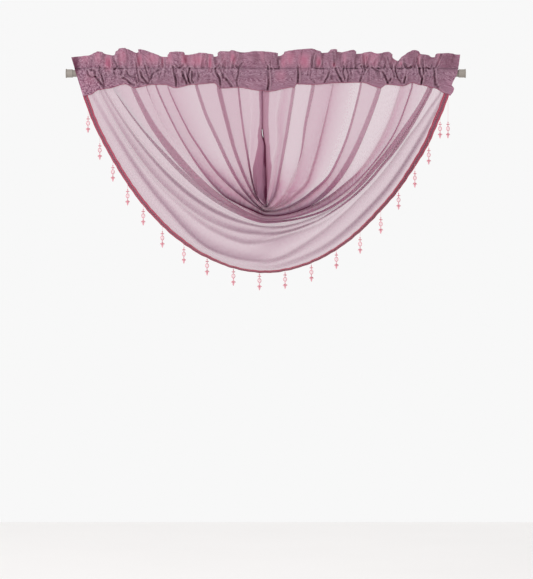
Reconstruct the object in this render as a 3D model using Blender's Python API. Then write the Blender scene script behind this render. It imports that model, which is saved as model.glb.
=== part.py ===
"""Festoon valance with rod: a sheer swag on a gathered heading, with braid and bead drops, on a tension rod.

Lengths are metres and +Z is up. The origin is the middle of the left foot's flat end, +X runs along the
rod, and the front faces -Y. Tables are in millimetres, measured from the middle of the rod's axis.
"""

from collections import namedtuple
from math import cos, hypot, pi, sin

import bmesh
import bpy
import numpy as np

MM = 0.001

# The rod and its feet, in metres
ROD_LENGTH = 0.920
ROD_RADIUS = 0.008
FOOT_LENGTH = 0.016
FOOT_RADIUS = 0.0095
FLANGE_RADIUS = 0.0105
FLANGE_THICKNESS = 0.002
ROUND_SIDES = 24
PIECE_GAP = 0.0003

# The swag, in millimetres
CENTRE_X = 1.3
GATHER_Z = -305.0
HEM_CENTRE_Z = -457.0
SWAG_THICKNESS = 1.2
TURN_WIDTH = 2.4
SOFT_REACH = 0.28
SOFT_MOST = 3.5
SOFT_LAP = 3.0
LAP_FULL = 0.4
LAP_START = 0.2
SEAM_DEPTH_SHARE = 0.45
SEAM_DEPTH_RUN = 0.3
FACE_BELLY = 1.0
ROWS_PER_SIDE = 14
SLIT_HALF_GAP = 1.3
SLIT_LEFT_X = -11.0
SLIT_RIGHT_X = -6.5
SLIT_HEM_MOST = 0.75
SLIT_HEM_GAP = 0.4
SLIT_ROLL = 0.5
VEE_ROUNDING = 0.06

# The braid along the hem, in millimetres and degrees
BRAID_WIDTH = 12.3
BRAID_THICKNESS = 1.5
BRAID_GAP = 0.35
HEM_FORWARD = 9.0
HEM_TURNED_UNDER = 68.0
HEM_TURNED_LEFT = 26.0
HEM_TURNED_RIGHT = 6.0
HEM_FLAT_AT_SEAM = 0.12

# The heading, in millimetres
LAYERS_THICKNESS = 2.4
SEAM_GAP = 0.35
SEAT_GAP = 0.35
HEADING_LEFT_X = -420.5
HEADING_RIGHT_X = 425.0
FAN_OUT = 0.064
FAN_HEIGHT = 90.0
STITCH_Z = 12.0
RIDGE_SHARE = 0.45
# The pocket's inner and outer faces beside the rod: how far out from the rod's surface, height
POCKET_INNER = [(1.3, -6.0), (2.6, 1.0), (-0.4, 7.8)]
POCKET_OUTER = [(2.7, -7.2), (4.1, 1.0), (0.8, 9.4)]
POCKET_SEAT_HALF = 2.5
POCKET_BOTTOM_INNER = 5.5
POCKET_BOTTOM_OUTER = 8.2
LEAST_STATION = 0.8

# The hem turned back along each side of the slit: share of the way up from the gather, width
SLIT_HEMS = [(0, 0), (0.1, 21), (0.2, 26), (0.45, 19), (0.7, 13), (1, 10)]

# One row for each fold of the swag, from the slit out to the hem. left and right are its places on the
# seam, and centre its height on the middle line. lap is how far it doubles over itself, on the left, in
# the middle and on the right, where 0 is a soft wave. vee is the straight share of its line and hook the
# part that turns late, the rest being a plain bowl. depth and forward are front-to-back sizes.
Fold = namedtuple(
    "Fold",
    "left right centre lap_left lap_centre lap_right vee_left hook_left vee_right hook_right depth forward",
)
FOLDS = [
    Fold(-60, 60, -308.5, 8, 3, 9, 0.00, 0.25, 0.00, 0.10, 4.6, 10),
    Fold(-104, 112, -312.5, 9, 3, 8, 0.25, 0.20, 0.00, 0.25, 4.8, 12),
    Fold(-156, 155, -316.5, 8, 4, 0, 0.45, 0.20, 0.00, 0.35, 5.0, 14),
    Fold(-218, 212, -321.0, 0, 5, 10, 0.30, 0.25, 0.00, 0.75, 5.0, 16),
    Fold(-252, 262, -327.5, 5, 6, 14, 0.30, 0.25, 0.00, 0.45, 5.2, 18),
    Fold(-288, 321, -333.0, 8, 5, 9, 0.30, 0.25, 0.10, 0.40, 5.2, 19),
    Fold(-314, 350, -338.5, 13, 6, 4, 0.30, 0.25, 0.05, 0.40, 5.4, 21),
    Fold(-362, 376, -345.0, 11, 9, 16, 0.40, 0.22, 0.00, 0.35, 5.6, 23),
    Fold(-376, 386, -356.0, 0, 2, 4, 0.03, 0.10, 0.00, 0.05, 4.4, 20),
    Fold(-384, 392, -374.0, 0, 0, 0, 0.00, 0.20, 0.00, 0.28, 4.2, 19),
    Fold(-392, 398, -399.0, 0, 0, 0, 0.00, 0.10, 0.10, 0.20, 4.0, 17),
    Fold(-400, 404, -432.0, 0, 0, 0, 0.00, 0.05, 0.25, 0.20, 3.6, 13),
]
Hem = namedtuple("Hem", "left right centre vee_left hook_left vee_right hook_right")
HEM = Hem(-417.5, 421, HEM_CENTRE_Z, 0.0, 0.20, 0.0, 0.22)

# The scalloped seam between the heading and the swag: place along the rod, height
SEAM = [
    (-421, -53), (-407, -50), (-383, -38), (-365, -35), (-324, -25), (-302, -33.5), (-260, -26),
    (-231, -26), (-209, -33.5), (-168, -26), (-119, -22.5), (-103, -34.5), (-66, -32.5), (-9, -40),
    (4, -42), (65, -32), (71, -25), (110, -26), (167, -22), (220, -21), (264, -33.5), (278, -26),
    (317, -29), (337, -22), (357, -27), (388, -34), (414, -47), (425, -51),
]

# The ruffle that stands above the stitching: place along its top edge, height, how far it leans back
RUFFLES = [
    (-449, 38, 1.5), (-420, 47, -3), (-388, 51, -8), (-355, 44, 8), (-330, 59, -9.5), (-298, 45.5, 8),
    (-292, 56.5, -6.5), (-262, 48, -1.5), (-238, 39, 8), (-214, 52, -8), (-190, 51, -3), (-186, 42, 8),
    (-155, 49, -8), (-124, 45.5, -1.5), (-117, 40, 8), (-105, 52, -6.5), (-79, 54.5, -8),
    (-52, 51.5, 5), (-26, 51, -6.5), (22, 48, -5), (33, 41, 8), (57, 52, -8), (101, 56.5, -8),
    (125, 51, -1.5), (138, 44, 8), (158, 55.5, -9.5), (170, 46.5, 6.5), (203, 54.5, -8), (216, 44, 8),
    (240, 47, -5), (258, 49, -8), (284, 50, -3), (308, 30, 9.5), (325, 47, -5), (346, 53.5, -9.5),
    (368, 50, -1.5), (390, 40, 8), (403, 45.5, -6.5), (425, 45, -5), (447, 43.5, 3),
]

# The bead drops: place along the hem, height of the topmost bead
DROPS = [
    (-409, -99), (-382, -161), (-352, -211), (-318, -266), (-282, -312), (-238, -363), (-188.5, -400),
    (-135, -427), (-74.5, -450), (-14.5, -459.5), (44.5, -456), (105, -441), (162.5, -409), (217, -377),
    (264.5, -331), (305.5, -275.5), (343, -225), (375, -172), (401, -111.5), (419.3, -111.5),
]
THREAD_RADIUS = 0.5
LEAST_THREAD = 2.5
DROP_SIDES = 6
# The beads of a drop, from the top down: depth below the topmost bead, radius
BEADS = [
    (0.0, 0.5), (1.2, 1.7), (3.2, 0.8), (5.8, 4.3), (8.2, 0.9), (11.0, 1.0), (16.0, 4.6), (21.0, 1.0),
    (26.0, 1.0), (29.8, 6.2), (33.0, 2.4), (38.5, 0.7),
]


def smooth(value):
    """0 below 0 and 1 above 1, with an easy run between them."""
    value = np.clip(value, 0.0, 1.0)
    return value * value * (3.0 - 2.0 * value)


def mix(first, second, share):
    return first + (second - first) * share


def seam_height(x):
    """Height of the seam's scallops, each rounded between its rows."""
    places, heights = np.array(SEAM, float).T
    index = np.clip(np.searchsorted(places, x) - 1, 0, len(places) - 2)
    share = (x - places[index]) / (places[index + 1] - places[index])
    return mix(heights[index], heights[index + 1], smooth(share))


def drape_line(t, left, right, centre, vee_left, hook_left, vee_right, hook_right):
    """A fold's line in the front view, from the left of the seam (t = -1) through the middle to the right."""
    on_left = t < 0
    s = np.abs(t)
    top = np.where(on_left, left, right)
    vee = np.where(on_left, vee_left, vee_right)
    hook = np.where(on_left, hook_left, hook_right)
    straight = (np.hypot(s, VEE_ROUNDING) - VEE_ROUNDING) / (hypot(1, VEE_ROUNDING) - VEE_ROUNDING)
    rise = vee * straight + (1 - vee - hook) * s**2 + hook * s**4
    x = mix(CENTRE_X, top, s)
    return np.stack([x, mix(centre, seam_height(top), rise)], axis=1)


def slit_line(t):
    """The slit's two edges, down one side to the gather and up the other."""
    s = np.abs(t)
    side = np.sign(t)
    top = np.where(t < 0, SLIT_LEFT_X, SLIT_RIGHT_X)
    x = mix(CENTRE_X + side * SLIT_HALF_GAP, top, s)
    return np.stack([x, mix(GATHER_Z, seam_height(top), s)], axis=1)


def outward(line):
    """Unit vectors across a line in the front view, towards the hem."""
    along = np.gradient(line, axis=0)
    along /= np.linalg.norm(along, axis=1)[:, None]
    return np.stack([along[:, 1], -along[:, 0]], axis=1)


def placed(line, depth):
    """Front-view points with their depths as points in space, and those of the seam set on its scallops."""
    points = np.stack([line[:, 0], depth, line[:, 1]], axis=1)
    for end in (0, -1):
        points[end, 2] = seam_height(points[end, 0])
    return points


def soft_reach(line, neighbour):
    """How far a soft wave runs from its line towards the next one."""
    away = neighbour - line
    length = np.linalg.norm(away, axis=1)
    share = np.minimum(SOFT_REACH, SOFT_MOST / np.maximum(length, SOFT_MOST))
    return away * share[:, None]


def fold_columns(fold, t, inner, line, outer):
    """Four columns of points: the front edge of a fold, its two turns, and its back edge."""
    s = np.abs(t)
    lap_side = np.where(t < 0, fold.lap_left, fold.lap_right)
    lap = mix(fold.lap_centre, lap_side, smooth(s / LAP_FULL)) * smooth((1 - s) / LAP_START)
    soft = 1 - smooth(lap / SOFT_LAP)
    depth = fold.depth * mix(SEAM_DEPTH_SHARE, 1.0, smooth((1 - s) / SEAM_DEPTH_RUN))
    base = -fold.forward * (1 - s**2)
    across = outward(line) * (lap * (1 - soft) / 2)[:, None]
    front = line + across + soft_reach(line, inner) * soft[:, None]
    back = line - across + soft_reach(line, outer) * soft[:, None]
    front = placed(front, base - depth)
    back = placed(back, base + depth)
    turn = mix(TURN_WIDTH, depth * 2 / 3, soft)
    front_turn = mix(front, back, soft[:, None] / 3)
    front_turn[:, 1] = base - depth + turn
    back_turn = mix(back, front, soft[:, None] / 3)
    back_turn[:, 1] = base + depth - turn
    return [front, front_turn, back_turn, back]


def slit_columns(t, line, first_front):
    """Three columns at the slit: the raw edge of its turned hem, behind, and the hem's fold."""
    s = np.abs(t)
    reach = np.zeros(len(t))
    for half in (t < 0, t > 0):
        x, _, z = first_front[half][np.argsort(first_front[half, 2])].T
        reach[half] = np.abs(np.interp(line[half, 1], z, x) - line[half, 0])
    width = np.minimum(np.interp(s, *np.array(SLIT_HEMS).T), reach * SLIT_HEM_MOST)
    face = first_front[:, 1] + SLIT_ROLL * smooth(s)
    sideways = np.stack([np.sign(t) * width, np.zeros(len(t))], axis=1)
    edge = placed(line, face)
    turn = placed(line, face + TURN_WIDTH)
    raw = placed(line + sideways, face + TURN_WIDTH + SLIT_HEM_GAP)
    return [raw, turn, edge]


def hem_columns(t, line):
    """Two columns: the braid's inner edge and the hem's edge, which turns under towards the middle."""
    s = np.abs(t)
    at_side = np.where(t < 0, HEM_TURNED_LEFT, HEM_TURNED_RIGHT)
    turned = np.radians(mix(at_side, HEM_TURNED_UNDER, (1 - s) ** 2))
    base = -HEM_FORWARD * (1 - s**2)
    inner = placed(line - outward(line) * (BRAID_WIDTH * np.cos(turned))[:, None], base)
    edge = placed(line, base + BRAID_WIDTH * np.sin(turned) * smooth((1 - s) / HEM_FLAT_AT_SEAM))
    return [inner, edge]


def swag_grid(t):
    """Points of the swag's middle surface, column by column from the slit to the hem, and its fold edges."""
    folds = [drape_line(t, f.left, f.right, f.centre, *f[6:10]) for f in FOLDS]
    lines = [slit_line(t), *folds, drape_line(t, *HEM)]
    edges = [
        fold_columns(fold, t, lines[i], lines[i + 1], lines[i + 2]) for i, fold in enumerate(FOLDS)
    ]
    hem = hem_columns(t, lines[-1])
    columns = slit_columns(t, lines[0], edges[0][0])
    belly = np.zeros((len(t), 3))
    belly[:, 1] = -FACE_BELLY * (1 - t**4)
    seam = [columns[2]]
    for fold in edges:
        columns.append((columns[-1] + fold[0]) / 2 + belly)
        columns.extend(fold)
        seam.extend([fold[0], fold[3]])
    columns.append((columns[-1] + hem[0]) / 2 + belly)
    columns.extend(hem)
    seam.extend(hem)
    return np.array(columns), np.array(seam)


def grid_normals(grid):
    """Unit vectors across a sheet of points, towards its front."""
    along = np.gradient(grid, axis=1)
    across = np.gradient(grid, axis=0)
    normals = np.cross(across, along)
    normals /= np.linalg.norm(normals, axis=2)[:, :, None]
    return normals


def material(name, colour, roughness, metallic=0.0):
    made = bpy.data.materials.new(name)
    made.use_nodes = True
    shader = made.node_tree.nodes["Principled BSDF"]
    shader.inputs["Base Color"].default_value = (*colour, 1.0)
    shader.inputs["Roughness"].default_value = roughness
    shader.inputs["Metallic"].default_value = metallic
    return made


def add_piece(name, bm, finish, parent):
    bmesh.ops.recalc_face_normals(bm, faces=bm.faces)
    mesh = bpy.data.meshes.new(name)
    bm.to_mesh(mesh)
    bm.free()
    mesh.materials.append(finish)
    piece = bpy.data.objects.new(name, mesh)
    bpy.context.scene.collection.objects.link(piece)
    piece.parent = parent
    return piece


def thick_sheet(front, back):
    """A closed sheet between two grids of points in millimetres, as a bmesh in metres."""
    bm = bmesh.new()
    columns, rows = front.shape[:2]
    sides = [
        [[bm.verts.new(point * MM) for point in column] for column in grid] for grid in (front, back)
    ]
    for i in range(columns - 1):
        for j in range(rows - 1):
            for side in sides:
                bm.faces.new((side[i][j], side[i + 1][j], side[i + 1][j + 1], side[i][j + 1]))
    rim = [(i, 0) for i in range(columns)] + [(columns - 1, j) for j in range(1, rows)]
    rim += [(i, rows - 1) for i in range(columns - 2, -1, -1)] + [(0, j) for j in range(rows - 2, 0, -1)]
    for (i, j), (k, m) in zip(rim, rim[1:] + rim[:1]):
        bm.faces.new((sides[0][i][j], sides[0][k][m], sides[1][k][m], sides[1][i][j]))
    return bm


def heading_section(x, foot, crest):
    """Outer and inner loops of the heading across the rod, at a place with this seam point and ruffle."""
    foot_y, foot_z = foot
    top_z, lean = crest
    radius = ROD_RADIUS / MM
    half = LAYERS_THICKNESS / 2
    front_ridge = RIDGE_SHARE * max(0.0, -lean)
    back_ridge = RIDGE_SHARE * max(0.0, lean)
    neck_y = foot_y / 2
    neck_z = -radius - POCKET_BOTTOM_OUTER
    outer = [(foot_y - half, foot_z), (neck_y - half, neck_z)]
    outer += [(-radius - out - front_ridge, z) for out, z in POCKET_OUTER]
    outer += [(-half, STITCH_Z), (lean - half, top_z), (lean + half, top_z), (half, STITCH_Z)]
    outer += [(radius + out + back_ridge, z) for out, z in reversed(POCKET_OUTER)]
    outer += [(neck_y + half, neck_z), (foot_y + half, foot_z)]
    seat = radius + SEAT_GAP
    inner = [(neck_y, -radius - POCKET_BOTTOM_INNER)]
    inner += [(-radius - out - front_ridge, z) for out, z in POCKET_INNER]
    inner += [(-POCKET_SEAT_HALF, seat), (POCKET_SEAT_HALF, seat)]
    inner += [(radius + out + back_ridge, z) for out, z in reversed(POCKET_INNER)]
    return [[(x * (1 + FAN_OUT * (z - foot_z) / FAN_HEIGHT), y, z) for y, z in loop] for loop in (outer, inner)]


def heading_mesh(seam):
    """The ruffle and the rod's pocket, lofted along the rod through a section at each seam point and ruffle."""
    left = seam[::-1, 0]
    right = seam[:, -1]
    ends = [(x, 0.0, seam_height(x)) for x in (HEADING_LEFT_X, HEADING_RIGHT_X)]
    foot = np.array([ends[0], *left, *right, ends[1]])
    crest = np.array(RUFFLES, float)
    crest_feet = crest[:, 0] / (1 + FAN_OUT)
    inside = crest_feet[(crest_feet > HEADING_LEFT_X) & (crest_feet < HEADING_RIGHT_X)]
    places = np.union1d(foot[:, 0], inside)
    places = places[np.insert(np.diff(places) > LEAST_STATION, 0, True) | np.isin(places, foot[:, 0])]
    bm = bmesh.new()
    loops = []
    for x in places:
        foot_y = np.interp(x, foot[:, 0], foot[:, 1])
        foot_z = np.interp(x, foot[:, 0], foot[:, 2]) + SEAM_GAP
        top_z, lean = (np.interp(x, crest_feet, crest[:, column]) for column in (1, 2))
        section = heading_section(x, (foot_y, foot_z), (top_z, lean))
        loops.append([[bm.verts.new(np.array(point) * MM) for point in loop] for loop in section])
    for here, there in zip(loops, loops[1:]):
        for ring, next_ring in zip(here, there):
            for i in range(len(ring)):
                k = (i + 1) % len(ring)
                bm.faces.new((ring[i], ring[k], next_ring[k], next_ring[i]))
    for rings in (loops[0], loops[-1]):
        edges = [bm.edges.get((ring[i - 1], ring[i])) for ring in rings for i in range(len(ring))]
        bmesh.ops.triangle_fill(bm, use_beauty=True, edges=edges)
    return bm


def turned_mesh(stations, sides, axis):
    """A turned solid through (place along the axis, radius) rows, in millimetres."""
    bm = bmesh.new()
    rings = []
    for place, radius in stations:
        ring = []
        for k in range(sides):
            a = 2 * pi * k / sides
            u, v = radius * cos(a), radius * sin(a)
            point = (place, u, v) if axis == "X" else (u, v, place)
            ring.append(bm.verts.new(np.array(point) * MM))
        rings.append(ring)
    for ring, next_ring in zip(rings, rings[1:]):
        for i in range(sides):
            k = (i + 1) % sides
            bm.faces.new((ring[i], ring[k], next_ring[k], next_ring[i]))
    bm.faces.new(rings[0])
    bm.faces.new(rings[-1])
    return bm


def rod_mesh():
    reach = (ROD_LENGTH / 2 - FOOT_LENGTH - PIECE_GAP) / MM
    radius = ROD_RADIUS / MM
    return turned_mesh([(-reach, radius), (reach, radius)], ROUND_SIDES, "X")


def foot_mesh(side):
    """A foot: a flat flange against the jamb, and a round body that meets the rod's end."""
    end = ROD_LENGTH / 2 / MM
    rows = [
        (end, FLANGE_RADIUS),
        (end - FLANGE_THICKNESS / MM, FLANGE_RADIUS),
        (end - FLANGE_THICKNESS / MM, FOOT_RADIUS),
        (end - FOOT_LENGTH / MM, FOOT_RADIUS),
    ]
    return turned_mesh([(side * x, radius / MM) for x, radius in rows], ROUND_SIDES, "X")


def drop_mesh(top_z, beads_z):
    """A thread from the hem, and the beads that it carries."""
    rows = [(top_z, THREAD_RADIUS)] + [(beads_z - below, radius) for below, radius in BEADS]
    return turned_mesh(rows, DROP_SIDES, "Z")


def hang_drops(edge, finish, parent):
    """Bead drops under the hem's edge, their threads as near to it as its slope lets them hang."""
    for number, (x, beads_z) in enumerate(DROPS, start=1):
        y, z = (np.interp(x, edge[:, 0], edge[:, column]) for column in (1, 2))
        ahead = np.interp(x + 1.0, edge[:, 0], edge[:, 2])
        behind = np.interp(x - 1.0, edge[:, 0], edge[:, 2])
        slope = abs(ahead - behind) / 2
        lean = hypot(1, slope)
        clearance = (PIECE_GAP / MM + THREAD_RADIUS * slope / lean) * lean
        top_z = z - clearance
        bm = drop_mesh(top_z, min(beads_z, top_z - LEAST_THREAD))
        drop = add_piece(f"drop_{number:02d}", bm, finish, parent)
        drop.location = (x * MM, y * MM, 0)


def main():
    for old in list(bpy.data.objects):
        bpy.data.objects.remove(old, do_unlink=True)
    middle = bpy.data.objects.new("rod_middle", None)
    bpy.context.scene.collection.objects.link(middle)
    middle.location = (ROD_LENGTH / 2, 0, 0)

    painted = material("painted_steel", (0.62, 0.60, 0.57), 0.45)
    plastic = material("foot_plastic", (0.58, 0.57, 0.54), 0.5)
    band = material("heading_cloth", (0.36, 0.17, 0.25), 0.85)
    sheer = material("sheer_cloth", (0.62, 0.40, 0.49), 0.8)
    woven = material("braid_weave", (0.36, 0.08, 0.13), 0.8)
    glass = material("bead_glass", (0.72, 0.28, 0.33), 0.15)

    add_piece("rod", rod_mesh(), painted, middle)
    add_piece("left_foot", foot_mesh(-1), plastic, middle)
    add_piece("right_foot", foot_mesh(1), plastic, middle)

    t = np.linspace(-1, 1, 2 * ROWS_PER_SIDE + 1)
    grid, seam = swag_grid(t)
    normals = grid_normals(grid)
    half = SWAG_THICKNESS / 2
    add_piece("swag", thick_sheet(grid + normals * half, grid - normals * half), sheer, middle)

    hem, across = grid[-2:], normals[-2:]
    near = half + BRAID_GAP
    braid = thick_sheet(hem + across * (near + BRAID_THICKNESS), hem + across * near)
    add_piece("braid", braid, woven, middle)

    add_piece("heading", heading_mesh(seam), band, middle)
    braid_edge = hem[1] + across[1] * (near + BRAID_THICKNESS / 2)
    braid_edge[:, 2] -= BRAID_THICKNESS / 2 * np.abs(across[1][:, 2])
    hang_drops(braid_edge, glass, middle)


main()
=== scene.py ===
"""A festoon valance on its rod: slubby rose voile, jacquard braid, acrylic bead drops, an enamelled rod.

Tables are in millimetres from the middle of the rod's axis: x along the rod, z up, the front towards -y.
A mesh is turned to metres in the part's own frame, whose origin is the left foot's flat end.
"""

from collections import namedtuple
from math import cos, hypot, pi, sin

import bmesh
import bpy
import numpy as np
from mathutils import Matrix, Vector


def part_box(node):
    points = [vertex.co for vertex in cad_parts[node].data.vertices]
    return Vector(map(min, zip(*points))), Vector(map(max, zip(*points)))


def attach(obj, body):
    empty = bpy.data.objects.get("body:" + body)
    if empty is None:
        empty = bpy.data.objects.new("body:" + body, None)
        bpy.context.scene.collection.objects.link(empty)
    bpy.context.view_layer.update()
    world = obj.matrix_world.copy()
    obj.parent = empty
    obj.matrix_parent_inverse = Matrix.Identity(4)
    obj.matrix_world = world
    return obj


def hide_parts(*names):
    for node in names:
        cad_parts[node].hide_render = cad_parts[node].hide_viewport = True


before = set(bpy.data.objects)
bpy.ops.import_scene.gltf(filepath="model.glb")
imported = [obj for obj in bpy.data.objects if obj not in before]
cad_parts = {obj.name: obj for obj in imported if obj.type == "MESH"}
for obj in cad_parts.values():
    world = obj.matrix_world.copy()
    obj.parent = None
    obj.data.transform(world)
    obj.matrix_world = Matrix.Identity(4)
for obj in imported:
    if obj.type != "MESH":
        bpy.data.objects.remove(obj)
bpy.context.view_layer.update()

MM = 0.001
SEED = 7

# Sizes that the part has too

ROD_LENGTH = 920.0
ROD_RADIUS = 8.0
CENTRE_X = 1.3             # the gather is here, under the slit
GATHER_Z = -305.0
SLIT_TOP_X = -8.8
VEE_ROUNDING = 0.06        # a straight line down is rounded over this share at the middle
STITCH_Z = 12.0
HEADING_LEFT_X = -420.5
HEADING_RIGHT_X = 425.0
FAN_OUT = 0.064            # the heading spreads by this share of its width
FAN_HEIGHT = 90.0          # over this height above the seam
BRAID_WIDTH = 12.3
BRAID_THICKNESS = 1.5
BRAID_GAP = 0.9            # from the swag's face
HEM_FORWARD = 9.0
HEM_FLAT_AT_SEAM = 0.12    # over this share of a side the hem starts to turn under

# The scalloped seam between the heading and the swag: place along the rod, height
SEAM = [
    (-421, -53), (-407, -50), (-383, -38), (-365, -35), (-324, -25), (-302, -33.5), (-260, -26),
    (-231, -26), (-209, -33.5), (-168, -26), (-119, -22.5), (-103, -34.5), (-66, -32.5), (-9, -40),
    (4, -42), (65, -32), (71, -25), (110, -26), (167, -22), (220, -21), (264, -33.5), (278, -26),
    (317, -29), (337, -22), (357, -27), (388, -34), (414, -47), (425, -51),
]

# The lines that the swag's folds follow, from the slit out: place on the seam at left and right, height on
# the middle line, the straight and the late-turning shares of the line on each side, and how far forward
Line = namedtuple("Line", "left right centre vee_left hook_left vee_right hook_right forward")
LINES = [
    Line(-60, 60, -308.5, 0.00, 0.25, 0.00, 0.10, 10),
    Line(-104, 112, -312.5, 0.25, 0.20, 0.00, 0.25, 12),
    Line(-156, 155, -316.5, 0.45, 0.20, 0.00, 0.35, 14),
    Line(-218, 212, -321.0, 0.30, 0.25, 0.00, 0.75, 16),
    Line(-252, 262, -327.5, 0.30, 0.25, 0.00, 0.45, 18),
    Line(-288, 321, -333.0, 0.30, 0.25, 0.10, 0.40, 19),
    Line(-314, 350, -338.5, 0.30, 0.25, 0.05, 0.40, 21),
    Line(-362, 376, -345.0, 0.40, 0.22, 0.00, 0.35, 23),
    Line(-376, 386, -356.0, 0.03, 0.10, 0.00, 0.30, 20),
    Line(-384, 392, -374.0, 0.00, 0.20, 0.00, 0.28, 19),
    Line(-392, 398, -399.0, 0.00, 0.10, 0.10, 0.20, 17),
    Line(-400, 404, -432.0, 0.00, 0.05, 0.25, 0.20, 13),
]
HEM = Line(-417.5, 421, -457.0, 0.00, 0.20, 0.05, 0.22, HEM_FORWARD)
# By place along the hem: how far it turns under, in degrees, how far it lies outside its line, and how it
# wavers a little
HEM_TURNS = [(-1, 36), (-0.7, 40), (-0.5, 50), (-0.35, 64), (-0.2, 72), (0.2, 70), (0.4, 64), (0.65, 54),
             (0.75, 44), (0.87, 24), (0.95, 6), (1, 4)]
HEM_OUT = [(-1, 3), (-0.93, 6.5), (-0.7, 6.5), (-0.55, 4.5), (-0.4, 2), (-0.28, 0), (0.6, 0), (0.75, 3.5),
           (0.87, 6.5), (0.95, 3.5), (1, 1)]
HEM_WAVER = 0.25
HEM_WAVES = [(37, 0.0), (23, 1.0)]     # length, phase
HEM_STEADY = 0.05                      # at the seam the hem doesn't waver

# The swag's creases

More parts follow.
